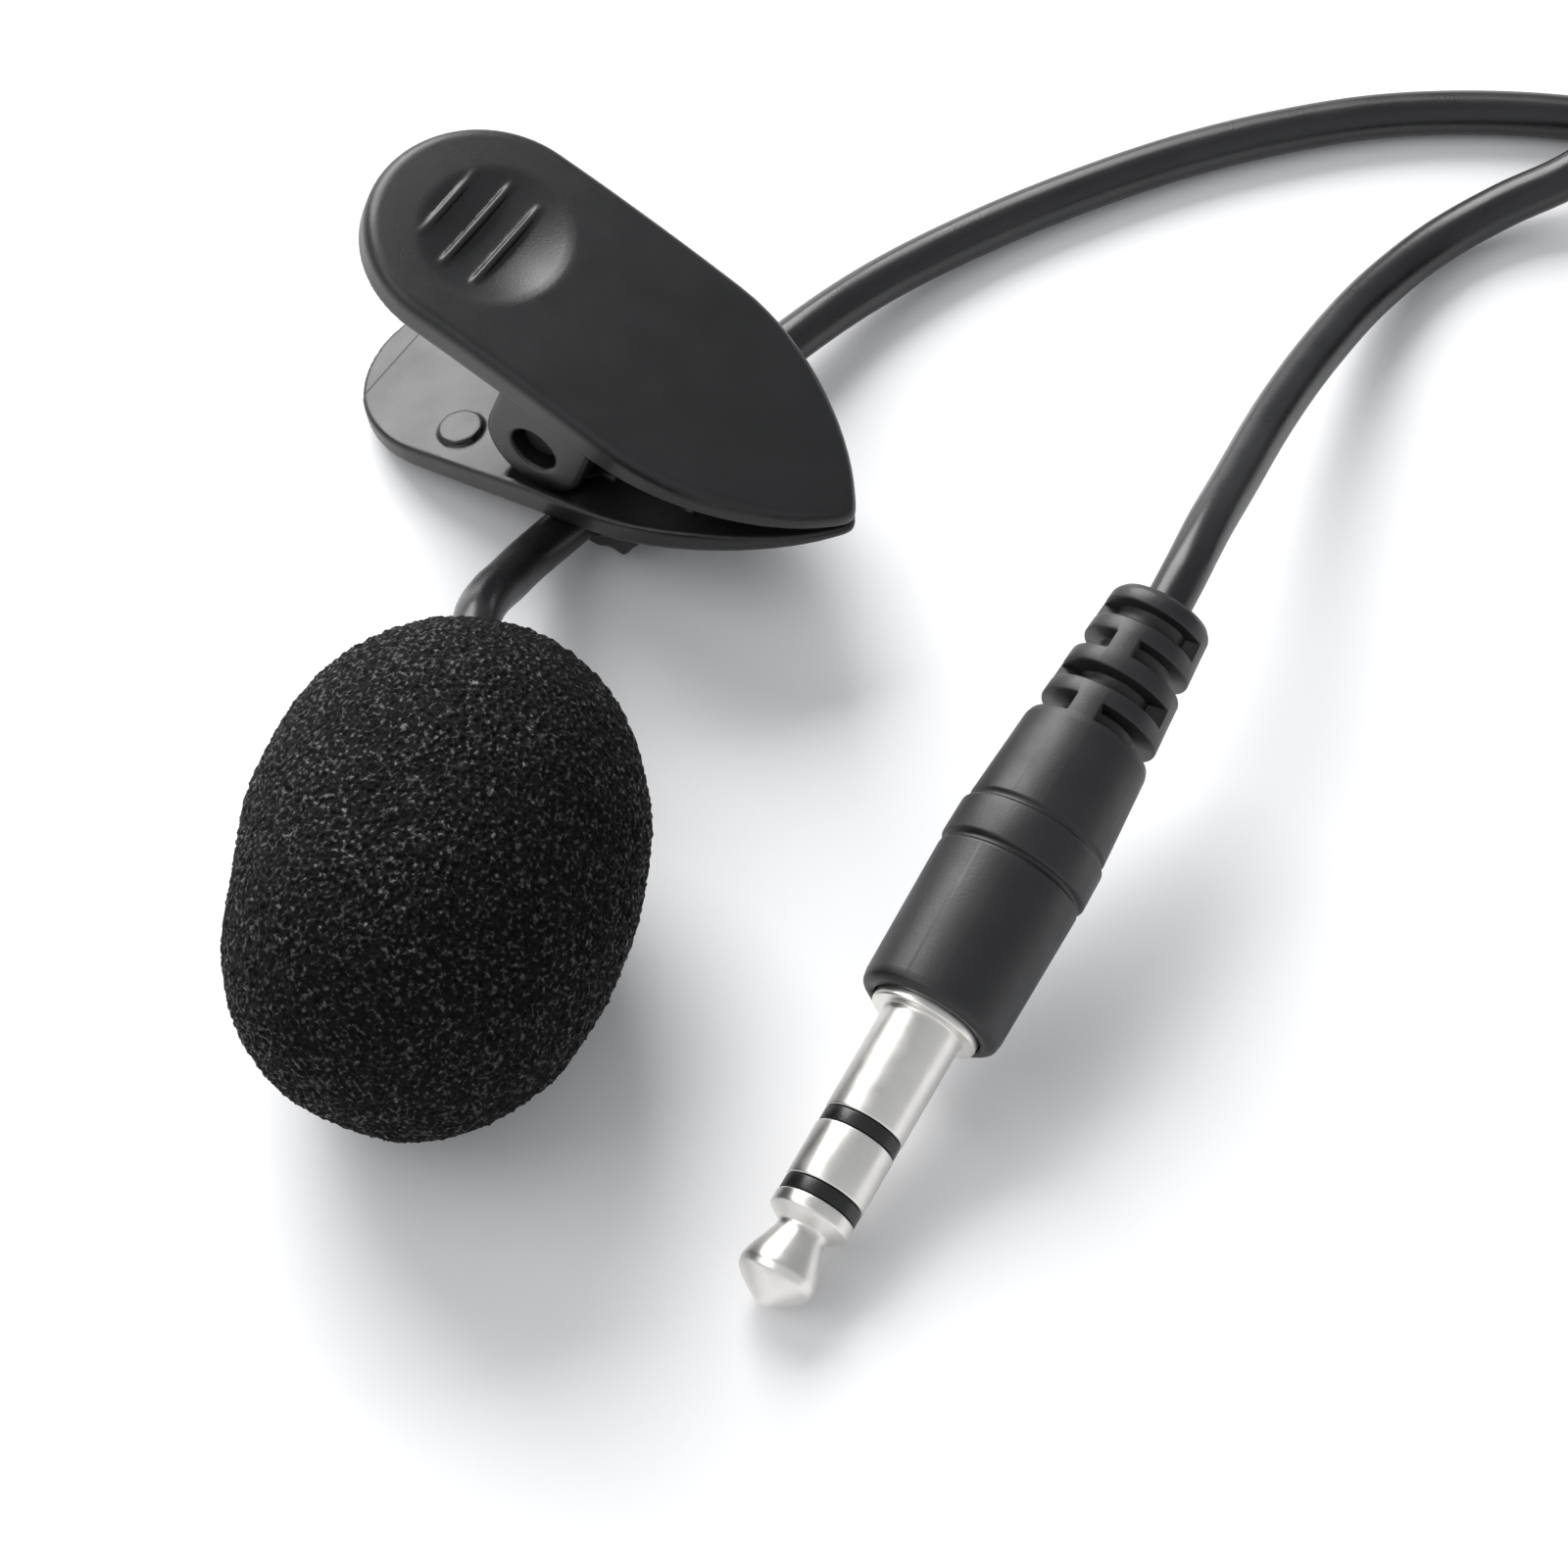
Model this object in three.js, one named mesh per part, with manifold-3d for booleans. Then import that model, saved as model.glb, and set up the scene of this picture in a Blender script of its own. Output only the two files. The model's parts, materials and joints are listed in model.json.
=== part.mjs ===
// Clip-on (lavalier) microphone: an electret capsule in a foam windscreen, a spring clip that
// holds the lead in a swivelling hook, and a lead that ends in a 3.5 mm three-pole plug.
// Millimetres, +Z up. The microphone and its clip lie on the plane z = 0, centred on the origin.

import * as THREE from 'three';
import { mergeVertices } from 'three/addons/utils/BufferGeometryUtils.js';
import Module from 'manifold-3d';

const wasm = await Module();
wasm.setup();

// ---------------------------------------------------------------- driving dimensions

const GAP = 0.3; // between pieces that rest on or meet each other
const FIT = 0.1; // between pieces that share an axis

const CORD_D = 2.0;
const CORD_R = CORD_D / 2;

// Brings the head and the clip, without the lead and the plug, over the origin.
const CENTRED = [0.18, 1.11, 0];

// Microphone head, built along its own +Y, which points to the lead.
const MIC_AT = [-4.5, -13.3, 8.25];
const MIC_TURN = -6;
const FOAM_TURN = -12.5;
const FOAM_R = 8.2;
const FOAM_HALF = 11.2;
const FOAM_FULLEST = 0.3; // how far behind the middle the foam is widest
const SHELL_R = 3.8;
const SHELL_WALL = 0.4;
const SHELL_FRONT = -6.4;
const SHELL_REAR = 8.3;
const BORE_FRONT = -7.0;
const CAN_R = 3.0;
const CAN_FRONT = -4.6;
const CAN_DEPTH = 2.7;

// Clip: each lever is drawn flat, with the pivot at its origin and the jaw along +X.
const CLIP_AT = [1.52, 13.58, 6.2];
const CLIP_TURN = -34;
const UPPER_TILT = 16.5;
const LOWER_TILT = -13.3;
const LEVER_W = 5.25; // half width
const THUMB_X = -6.8; // centre of the round thumb end
const DISH_X = -7.0; // centre of the thumb recess
const TIP_X = 12.6;
const UPPER_TOP = 4.9;
const LOWER_BOTTOM = -3.4;
const EAR_R = 2.4;
const EAR_OUTER = 4.6;
const EAR_INNER = 3.4;
const LUG_R = 2.1;
const LUG_OUTER = 3.1;
const LUG_INNER = 1.9;
const PIN_R = 0.95;
const BORE_R = 1.1;
const STEM_X = 1.3; // the hook's swivel, along the lower lever
const STEM_R = 0.8;
const RIVET_R = 1.5; // head of the stem, above the lower lever
const SWIVEL_R = 3.3; // recess for the hook's disc
const SWIVEL_DEEP = 0.5;
const DISH_R = 8.2;
const DISH_DEEP = 0.65;
const RIDGES = [-1.95, -0.45, 1.1]; // along the lever, from the middle of the recess
const RIDGE_REACH = 3.1;
const STUD_AT = [-5.3, 3.4];
const STUD_R = 1.0;
const TEETH_FROM = 6.6;
const TEETH_TO = 9.5;
const TEETH_STEP = 0.9;
const HOOK_HALF = 3.6; // half the hook's length along the lead
const CORD_CROSS = 9.57; // how far the lead is turned from straight across the clip
const CORD_IN_CLIP = [2.34, 0, -4.25]; // the lead's axis below the clip, in the clip's own frame

// Spring
const WIRE_R = 0.25;
const SPRING_R = 1.4;
const SPRING_TURNS = 5;
const SPRING_PITCH = 0.62;

// Plug, built along its own +Y from the tip to the lead.
const PLUG_AT = [8.57, -29.2, 1.5];
const PLUG_TURN = -29.8;
const PLUG_RISE = 12;
const PLUG_ROLL = 87;
const CONTACT_R = 1.75; // 3.5 mm plug
const FLANGE_Y = 13.35;
const BODY_FRONT = 13.7;
const PLUG_LENGTH = 33.9;
const TIP_ROD_R = 0.55; // rod from the tip through the middle of the plug
const RING_TUBE_IN = 0.8; // tube from the ring, round the rod
const RING_TUBE_OUT = 1.05;
const SLEEVE_BORE = 1.35;
const COLLAR_R = 1.9; // the sleeve's tail inside the body
const FLANGE_R = 2.35;

// Coil: turns one lead diameter apart, four layers of five, in a ring.
const COIL_AT = [69.6, 30.6];
const COIL_MEAN_R = 11.6;
const COIL_COLUMNS = 5;
const COIL_LAYERS = 4;
const COIL_IN = COIL_MEAN_R - (COIL_COLUMNS * CORD_D) / 2;
const COIL_OUT = COIL_MEAN_R + (COIL_COLUMNS * CORD_D) / 2;
const COIL_TOP = COIL_LAYERS * CORD_D + 0.35;
const TIE_W = 4.0;
const TIE_T = 0.7;

// Route of the lead's axis from the microphone to the coil, and from the coil to the plug.
const LEAD_ROUTE = [
  [-3.29, -1.76, 8.25],
  [-3.1, 0.0, 7.75],
  [-2.68, 2.2, 6.2],
  [-2.1, 4.3, 4.4],
  [-1.3, 6.6, 2.75],
  [-0.12, 8.5, 1.95],
  [3.46, 12.27, 1.95],
  [6.7, 15.68, 1.95],
  [10.08, 19.23, 1.93],
  [13.7, 22.7, 1.4],
  [18.2, 25.8, 1.1],
  [22.65, 28.15, 1.05],
  [27.05, 30.05, 1.05],
  [31.3, 31.4, 1.05],
  [35.6, 32.3, 1.05],
  [39.9, 32.55, 1.05],
  [44.2, 32.26, 1.05],
  [47.2, 31.6, 1.05],
  [49.8, 30.1, 1.05],
  [51.8, 27.3, 1.05],
  [53.1, 23.6, 1.05],
];
const TAIL_ROUTE = [
  [54.6, 40.4, 7.2],
  [52.6, 36.8, 6.5],
  [50.5, 33.6, 5.3],
  [48.6, 31.4, 4.1],
  [46.4, 29.6, 2.9],
  [43.9, 28.15, 2.0],
  [41.0, 26.95, 1.4],
  [38.0, 25.0, 1.2],
  [35.1, 21.8, 1.75],
  [32.5, 17.4, 3.2],
  [30.3, 12.7, 4.9],
  [28.3, 7.5, 6.9],
  [27.0, 4.1, 8.2],
  [26.0, 1.5, 8.75],
  [25.2, -0.17, 8.61],
];

// ---------------------------------------------------------------- materials

const finish = (color, roughness, metalness = 0) =>
  new THREE.MeshStandardMaterial({ color, roughness, metalness });

const MATERIAL = {
  foam: finish(0x141415, 1.0),
  clipPlastic: finish(0x26272a, 0.5),
  shellPlastic: finish(0x1d1d1f, 0.45),
  cordPvc: finish(0x222325, 0.5),
  plugPvc: finish(0x2a2b2d, 0.55),
  insulator: finish(0x121212, 0.4),
  nickel: finish(0xd8d5d0, 0.18, 1.0),
  springSteel: finish(0xa8a9ab, 0.3, 1.0),
  brass: finish(0xb99a5b, 0.35, 1.0),
  canAluminium: finish(0xbfc0c2, 0.35, 1.0),
  film: finish(0xc9b27a, 0.25, 0.3),
  board: finish(0x1f5a34, 0.5),
  chip: finish(0x1a1a1a, 0.4),
  felt: finish(0x2c2a28, 1.0),
  rubber: finish(0x17171a, 0.8),
  wireRed: finish(0x9c1f1c, 0.5),
  wireBare: finish(0xc07a4a, 0.4, 1.0),
  tie: finish(0x1b1b1c, 0.85),
};

// ---------------------------------------------------------------- geometry helpers

const rad = THREE.MathUtils.degToRad;

// A geometry with shared corners and no flat triangles, its faces pointing out.
function welded(geometry) {
  const bare = geometry.clone();
  bare.deleteAttribute('normal');
  bare.deleteAttribute('uv');
  const merged = mergeVertices(bare, 1e-4);
  const corners = merged.index.array;
  const kept = [];
  for (let i = 0; i < corners.length; i += 3) {
    const [a, b, c] = [corners[i], corners[i + 1], corners[i + 2]];
    if (a !== b && b !== c && c !== a) kept.push(a, b, c);
  }
  merged.setIndex(kept);
  return volume(merged) < 0 ? flipped(merged) : merged;
}

function volume(geometry) {
  const place = geometry.attributes.position;
  const corners = geometry.index.array;
  const [a, b, c] = [new THREE.Vector3(), new THREE.Vector3(), new THREE.Vector3()];
  let six = 0;
  for (let i = 0; i < corners.length; i += 3) {
    a.fromBufferAttribute(place, corners[i]);
    b.fromBufferAttribute(place, corners[i + 1]);
    c.fromBufferAttribute(place, corners[i + 2]);
    six += a.dot(b.cross(c));
  }
  return six / 6;
}

function flipped(geometry) {
  const corners = Array.from(geometry.index.array);
  for (let i = 0; i < corners.length; i += 3) {
    [corners[i + 1], corners[i + 2]] = [corners[i + 2], corners[i + 1]];
  }
  geometry.setIndex(corners);
  return geometry;
}

function solid(geometry) {
  const mesh = welded(geometry);
  return new wasm.Manifold(
    new wasm.Mesh({
      numProp: 3,
      vertProperties: new Float32Array(mesh.attributes.position.array),
      triVerts: new Uint32Array(mesh.index.array),
    }),
  );
}

const join = (first, ...others) => others.reduce((a, b) => a.add(b), first);
const cut = (first, ...others) => others.reduce((a, b) => a.subtract(b), first);
const meet = (first, ...others) => others.reduce((a, b) => a.intersect(b), first);

function geometryOf(shape) {
  if (shape.isBufferGeometry) return welded(shape);
  const mesh = shape.getMesh();
  const geometry = new THREE.BufferGeometry();
  geometry.setAttribute('position', new THREE.BufferAttribute(mesh.vertProperties, 3));
  geometry.setIndex(new THREE.BufferAttribute(mesh.triVerts, 1));
  return geometry;
}

function piece(name, shape, material) {
  const geometry = geometryOf(shape);
  geometry.computeVertexNormals();
  const mesh = new THREE.Mesh(geometry, material);
  mesh.name = name;
  return mesh;
}

// Turned about Y from [radius, y] points; the profile closes on itself or on the axis.
function turned(profile, segments = 24) {
  return new THREE.LatheGeometry(
    profile.map(([r, y]) => new THREE.Vector2(r, y)),
    segments,
  );
}

const disc = (r, y0, y1, segments = 24) =>
  turned([[0, y0], [r, y0], [r, y1], [0, y1]], segments);

const sleeve = (inner, outer, y0, y1, segments = 24) =>
  turned([[inner, y0], [outer, y0], [outer, y1], [inner, y1], [inner, y0]], segments);

function box(x0, x1, y0, y1, z0, z1) {
  const geometry = new THREE.BoxGeometry(x1 - x0, y1 - y0, z1 - z0);
  return geometry.translate((x0 + x1) / 2, (y0 + y1) / 2, (z0 + z1) / 2);
}

// A post along Z, and a shaft along Y that stands off the origin.
const post = (r, z0, z1, x = 0, y = 0, segments = 24) =>
  disc(r, z0, z1, segments).rotateX(Math.PI / 2).translate(x, y, 0);

const shaft = (r, y0, y1, x = 0, z = 0, segments = 24) =>
  disc(r, y0, y1, segments).translate(x, 0, z);

// An outline in X and Z, drawn out along Y from -half to +half.
function drawnAcross(points, half) {
  const outline = new THREE.Shape(points.map(([x, z]) => new THREE.Vector2(x, z)));
  const geometry = new THREE.ExtrudeGeometry(outline, { depth: 2 * half, bevelEnabled: false });
  return geometry.rotateX(Math.PI / 2).translate(0, half, 0);
}

// A round tube along a list of points.
function tube(points, r, sides, steps) {
  const path = new THREE.CatmullRomCurve3(points.map((p) => new THREE.Vector3(...p)));
  const section = new THREE.Shape();
  for (let i = 0; i < sides; i++) {
    const angle = (2 * Math.PI * i) / sides;
    const at = [r * Math.cos(angle), r * Math.sin(angle)];
    if (i === 0) section.moveTo(...at);
    else section.lineTo(...at);
  }
  return new THREE.ExtrudeGeometry(section, { steps, extrudePath: path, bevelEnabled: false });
}

function group(position, ...children) {
  const holder = new THREE.Group();
  holder.position.set(...position);
  holder.add(...children);
  return holder;
}

// ---------------------------------------------------------------- microphone head

// Radius of the foam at s, measured along its axis from the middle towards the lead.
function foamRadius(s) {
  const reach = s < FOAM_FULLEST ? FOAM_HALF + FOAM_FULLEST : FOAM_HALF - FOAM_FULLEST;
  const u = Math.min(Math.abs(s - FOAM_FULLEST) / reach, 1);
  const fullness = s < FOAM_FULLEST ? 2.4 : 2.2;
  return FOAM_R * (1 - u ** fullness) ** (1 / 2.1);
}

function foamWindscreen() {
  const rings = 18;
  const profile = [];
  for (let i = 0; i <= rings; i++) {
    const s = -FOAM_HALF * Math.cos((Math.PI * i) / rings);
    profile.push([i === 0 || i === rings ? 0 : foamRadius(s), s]);
  }
  const egg = turned(profile, 30).rotateZ(rad(FOAM_TURN - MIC_TURN));
  const bore = disc(SHELL_R + GAP, BORE_FRONT, FOAM_HALF + 2, 32);
  return cut(solid(egg), solid(bore));
}

function capsuleShell() {
  const inner = SHELL_R - SHELL_WALL;
  const lip = inner - 0.6;
  return turned([
    [lip, SHELL_FRONT],
    [SHELL_R - 0.3, SHELL_FRONT],
    [SHELL_R, SHELL_FRONT + 0.3],
    [SHELL_R, SHELL_REAR],
    [inner, SHELL_REAR],
    [inner, SHELL_FRONT + 0.4],
    [lip, SHELL_FRONT + 0.4],
    [lip, SHELL_FRONT],
  ]);
}

// A flat disc with one hole in the middle and a ring of holes round it.
function pierced(r, y0, y1, holeR, ringR, holes) {
  const cutters = [solid(disc(holeR, y0 - 1, y1 + 1, 10))];
  for (let i = 0; i < holes; i++) {
    const angle = (2 * Math.PI * i) / holes;
    const hole = disc(holeR, y0 - 1, y1 + 1, 10);
    hole.translate(ringR * Math.cos(angle), 0, ringR * Math.sin(angle));
    cutters.push(solid(hole));
  }
  return cut(solid(disc(r, y0, y1)), ...cutters);
}

function capsuleCan() {
  const wall = 0.2;
  const cup = turned([
    [0, CAN_FRONT],
    [CAN_R, CAN_FRONT],
    [CAN_R, CAN_FRONT + CAN_DEPTH],
    [CAN_R - wall, CAN_FRONT + CAN_DEPTH],
    [CAN_R - wall, CAN_FRONT + wall],
    [0, CAN_FRONT + wall],
  ]);
  return cut(solid(cup), solid(disc(0.6, CAN_FRONT - 1, CAN_FRONT + 1, 12)));
}

function cordGland() {
  const seat = SHELL_REAR - 2.0;
  return turned([
    [CORD_R + FIT, seat],
    [2.6, seat],
    [2.6, seat + 0.6],
    [1.9, seat + 0.6],
    [1.8, SHELL_REAR],
    [1.35, 11.3],
    [CORD_R + FIT, 11.3],
    [CORD_R + FIT, seat],
  ], 24);
}

function shellEndCap() {
  const seat = SHELL_REAR - 1.4 + FIT;
  return sleeve(1.9 + FIT, SHELL_R - SHELL_WALL - FIT, seat, SHELL_REAR - FIT);
}

// A fine wire from the capsule's board to the lead's cut end, inside the shell.
function innerLead(side) {
  return tube([
    [side * 1.2, -0.9, 0],
    [side * 1.3, 0.8, 0.3 * side],
    [side * 0.9, 3.0, 0.4 * side],
    [side * 0.45, 5.0, 0],
    [side * 0.42, 6.0, 0],
  ], 0.2, 6, 10);
}

function micHead() {
  const canBack = CAN_FRONT + CAN_DEPTH;
  const inside = CAN_R - 0.2;
  const front = CAN_FRONT + 0.2;
  const fet = box(-0.8, 0.8, front + 0.95, front + 1.75, -0.6, 0.6);
  const gasket = sleeve(CAN_R + FIT, SHELL_R - SHELL_WALL - FIT, CAN_FRONT + 0.3, canBack - 0.3);
  const head = group(
    MIC_AT,
    piece('foam_windscreen', foamWindscreen(), MATERIAL.foam),
    piece('capsule_shell', capsuleShell(), MATERIAL.shellPlastic),
    piece('grille_cap', pierced(3.2, SHELL_FRONT + 0.5, SHELL_FRONT + 0.9, 0.45, 1.7, 6), MATERIAL.nickel),
    piece('acoustic_felt', disc(3.1, SHELL_FRONT + 1.0, SHELL_FRONT + 1.6), MATERIAL.felt),
    piece('capsule_can', capsuleCan(), MATERIAL.canAluminium),
    piece('diaphragm', disc(inside - FIT, front + 0.1, front + 0.2), MATERIAL.film),
    piece('spacer_ring', sleeve(inside - 0.5, inside - FIT, front + 0.25, front + 0.4), MATERIAL.film),
    piece('backplate', pierced(2.0, front + 0.45, front + 0.75, 0.2, 1.1, 4), MATERIAL.brass),
    piece('backplate_holder', sleeve(2.1, inside - FIT, front + 0.45, front + 1.85), MATERIAL.rubber),
    piece('capsule_fet', fet, MATERIAL.chip),
    piece('capsule_board', disc(inside - FIT, front + 1.95, front + 2.45), MATERIAL.board),
    piece('capsule_gasket', gasket, MATERIAL.rubber),
    piece('lead_signal', innerLead(1), MATERIAL.wireRed),
    piece('lead_ground', innerLead(-1), MATERIAL.wireBare),
    piece('shell_end_cap', shellEndCap(), MATERIAL.shellPlastic),
    piece('cord_gland', cordGland(), MATERIAL.rubber),
  );
  head.rotation.z = rad(MIC_TURN);
  return head;
}

// ---------------------------------------------------------------- clip

// Outline of both levers seen from above: round thumb end, straight sides, pointed jaw.
function leverOutline() {
  const w = LEVER_W;
  const outline = new THREE.Shape();
  outline.moveTo(THUMB_X, w);
  outline.absarc(THUMB_X, 0, w, Math.PI / 2, 1.5 * Math.PI, false);
  outline.lineTo(2.8, -w);
  outline.bezierCurveTo(6.4, -w, 10.3, -3.1, 12.1, -0.85);
  outline.quadraticCurveTo(TIP_X, -0.4, TIP_X, 0);
  outline.quadraticCurveTo(TIP_X, 0.4, 12.1, 0.85);
  outline.bezierCurveTo(10.3, 3.1, 6.4, w, 2.8, w);
  return outline;
}

function leverBlank() {
  const options = { depth: 20, bevelEnabled: false, curveSegments: 12 };
  return solid(new THREE.ExtrudeGeometry(leverOutline(), options).translate(0, 0, -10));
}

const between = THREE.MathUtils.mapLinear;

// Height of the upper lever's top and of its underside at x.
const upperTop = (x) => UPPER_TOP - 0.0052 * (x - 0.5) ** 2;

function upperThickness(x) {
  if (x < 2) return 1.6;
  return x < 7 ? between(x, 2, 7, 1.6, 1.25) : between(x, 7, TIP_X, 1.25, 0.85);
}

// Height of the lower lever's underside, which turns down towards the tip, and of its inner face.
const lowerBottom = (x) => LOWER_BOTTOM - (x > 4 ? 0.65 * ((x - 4) / 8.6) ** 2 : 0);

function lowerThickness(x) {
  if (x < 0) return between(x, -12.3, 0, 1.1, 1.45);
  return x < 7.5 ? between(x, 0, 7.5, 1.45, 1.15) : between(x, 7.5, TIP_X, 1.15, 0.55);
}

const STATIONS = [-12.4, -10.8, -8, -5, -2.5, 0, 2, 4, 5.5, 7, 8.5, 10, 11.3, 12.7];

// Side view of a lever between its two faces.
function leverSide(faceA, faceB) {
  const there = STATIONS.map((x) => [x, faceA(x)]);
  const back = STATIONS.map((x) => [x, faceB(x)]).reverse();
  return solid(drawnAcross([...there, ...back], 7));
}

// Ridges across a jaw's inner face, which stand on the given height.
function jawTeeth(heightAt, up) {
  const teeth = [];
  for (let x = TEETH_FROM; x < TEETH_TO; x += TEETH_STEP) {
    const z = heightAt(x);
    const half = 3.2 - 0.45 * (x - TEETH_FROM);
    teeth.push(solid(drawnAcross([
      [x - 0.3, z - 0.1 * up],
      [x + 0.3, z - 0.1 * up],
      [x + 0.05, z + 0.3 * up],
      [x - 0.05, z + 0.3 * up],
    ], half)));
  }
  return teeth;
}

// A cheek round the pivot, from y0 to y1, whose root widens by the flare where it meets its lever.
function cheek(r, y0, y1, rootZ, flare) {
  const half = (y1 - y0) / 2;
  const root = drawnAcross([[-r, 0], [r, 0], [r + flare, rootZ], [-r - flare, rootZ]], half);
  return join(
    solid(shaft(r, y0, y1, 0, 0, 28)),
    solid(root.translate(0, (y0 + y1) / 2, 0)),
  );
}

const bothSides = (make) => [make(-1), make(1)];

function spanned(side, inner, outer) {
  return side > 0 ? [inner, outer] : [-outer, -inner];
}

function upperLever() {
  const plate = meet(leverBlank(), leverSide(upperTop, (x) => upperTop(x) - upperThickness(x)));
  const ears = bothSides((side) => {
    const [y0, y1] = spanned(side, EAR_INNER, EAR_OUTER);
    return cheek(EAR_R, y0, y1, UPPER_TOP - 1.2, 0);
  });
  const dish = new THREE.SphereGeometry(DISH_R, 40, 24)
    .translate(DISH_X, 0, upperTop(DISH_X) + DISH_R - DISH_DEEP);
  const ridges = RIDGES.map((x) => {
    const half = Math.sqrt(RIDGE_REACH ** 2 - x ** 2) - 0.35;
    const floor = upperTop(DISH_X) - 1.0;
    return solid(box(DISH_X + x - 0.17, DISH_X + x + 0.17, -half, half, floor, floor + 0.82));
  });
  const body = cut(
    join(plate, ...ears),
    solid(shaft(BORE_R, -6, 6)),
    solid(dish),
  );
  const teeth = jawTeeth((x) => upperTop(x) - upperThickness(x), -1);
  return join(body, ...ridges, ...teeth);
}

function lowerLever() {
  const inner = (x) => lowerBottom(x) + lowerThickness(x);
  const plate = meet(leverBlank(), leverSide(inner, lowerBottom));
  const lugs = bothSides((side) => {
    const [y0, y1] = spanned(side, LUG_INNER, LUG_OUTER);
    return cheek(LUG_R, y0, y1, LOWER_BOTTOM + 1.0, 0.8);
  });
  const studs = bothSides((side) => {
    const z = inner(STUD_AT[0]);
    return solid(post(STUD_R, z - 0.5, z + 0.25, STUD_AT[0], side * STUD_AT[1], 16));
  });
  const pockets = bothSides((side) => {
    const [y0, y1] = spanned(side, EAR_INNER - GAP + 0.05, EAR_OUTER + GAP);
    return solid(shaft(EAR_R + GAP, y0, y1, 0, 0, 32));
  });
  const endStep = solid(box(-13, -10.8, -6, 6, inner(-10.8) - 0.25, inner(-10.8) + 2));
  const recessTop = LOWER_BOTTOM + SWIVEL_DEEP;
  const recess = solid(post(SWIVEL_R, LOWER_BOTTOM - 1, recessTop, STEM_X, 0, 32));
  const stemBore = solid(post(STEM_R + FIT, LOWER_BOTTOM - 1, 0, STEM_X, 0, 20));
  const headBore = solid(post(RIVET_R + FIT, LOWER_BOTTOM + 0.95, 0, STEM_X, 0, 24));
  const body = cut(join(plate, ...lugs), ...pockets, solid(shaft(BORE_R, -6, 6)), endStep);
  return cut(join(body, ...studs, ...jawTeeth(inner, 1)), recess, stemBore, headBore);
}

function pivotPin() {
  return shaft(PIN_R, -EAR_OUTER + 0.6, EAR_OUTER - 0.6);
}

// Torsion spring round the pin, one leg under the upper lever and one on the lower.
function torsionSpring() {
  const half = (SPRING_TURNS * SPRING_PITCH) / 2;
  const perTurn = 8;
  const start = rad(120);
  const last = SPRING_TURNS * perTurn + 5;
  const points = [[-6.6, -half, 2.55], [-3.6, -half, 2.2]];
  for (let i = 0; i <= last; i++) {
    const angle = start - (2 * Math.PI * i) / perTurn;
    const y = -half + (2 * half * i) / last;
    points.push([SPRING_R * Math.cos(angle), y, SPRING_R * Math.sin(angle)]);
  }
  points.push([-3.2, half, -1.1], [-6.6, half, -1.25]);
  return tube(points, WIRE_R, 5, 80);
}

// Swivel hook: a disc let into the lower lever, a riveted stem, and a channel for the lead.
// The channel opens towards the thumb end. It is level, while the disc follows the lever's slope.
function cableHook() {
  const seat = LOWER_BOTTOM + SWIVEL_DEEP - FIT;
  const base = LOWER_BOTTOM - 0.12;
  const stem = join(
    solid(post(SWIVEL_R - FIT, base, seat, STEM_X, 0, 32)),
    solid(post(STEM_R, seat - 0.2, LOWER_BOTTOM + 1.1, STEM_X, 0, 20)),
    solid(post(RIVET_R, LOWER_BOTTOM + 0.95 + FIT, LOWER_BOTTOM + 1.4, STEM_X, 0, 24)),
  );
  const bore = CORD_R + 0.12;
  const outer = bore + 0.7;
  const block = join(
    solid(shaft(outer, -HOOK_HALF, HOOK_HALF, 0, 0, 28)),
    solid(box(0, outer + 0.5, -HOOK_HALF, HOOK_HALF, -outer * 0.55, 2)),
  );
  const channel = join(
    solid(shaft(bore, -5, 5, 0, 0, 24)),
    solid(box(-4, 0.1, -5, 5, -0.75, 3)),
  );
  const hook = cut(block, channel)
    .rotate([0, 0, -CORD_CROSS])
    .translate(CORD_IN_CLIP)
    .rotate([0, -LOWER_TILT, 0]);
  const above = solid(box(-9, 9, -9, 9, LOWER_BOTTOM - 0.05, 9));
  return join(cut(hook, above), stem);
}

function clip() {
  const lower = group(
    [0, 0, 0],
    piece('lower_lever', lowerLever(), MATERIAL.clipPlastic),
    piece('cable_hook', cableHook(), MATERIAL.clipPlastic),
    piece('pivot_pin', pivotPin(), MATERIAL.springSteel),
    piece('torsion_spring', torsionSpring(), MATERIAL.springSteel),
  );
  lower.rotation.y = rad(LOWER_TILT);
  const upper = group([0, 0, 0], piece('upper_lever', upperLever(), MATERIAL.clipPlastic));
  upper.rotation.y = rad(UPPER_TILT);
  const whole = group(CLIP_AT, lower, upper);
  whole.rotation.z = rad(CLIP_TURN);
  return whole;
}

// ---------------------------------------------------------------- lead and coil

function cordCoil() {
  const [a, b] = [COIL_IN - 0.05, COIL_OUT + 0.05];
  return turned([
    [a, 0.05],
    [b, 0.05],
    [b, COIL_TOP - 0.8],
    [b - 0.8, COIL_TOP],
    [a + 0.8, COIL_TOP],
    [a, COIL_TOP - 0.8],
    [a, 0.05],
  ], 48).rotateX(Math.PI / 2).translate(...COIL_AT, 0);
}

// A strap over the ring, with its two legs down to the surface.
function coilTie() {
  const [a, b] = [COIL_IN - 2 * GAP, COIL_OUT + GAP];
  const top = COIL_TOP + GAP;
  const strap = drawnAcross([
    [a - TIE_T, 0.05],
    [a, 0.05],
    [a, top],
    [b, top],
    [b, 0.05],
    [b + TIE_T, 0.05],
    [b + TIE_T, top + 0.3],
    [b + 0.3, top + TIE_T],
    [a - 0.3, top + TIE_T],
    [a - TIE_T, top + 0.3],
  ], TIE_W / 2);
  return strap.translate(...COIL_AT, 0);
}

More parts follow.
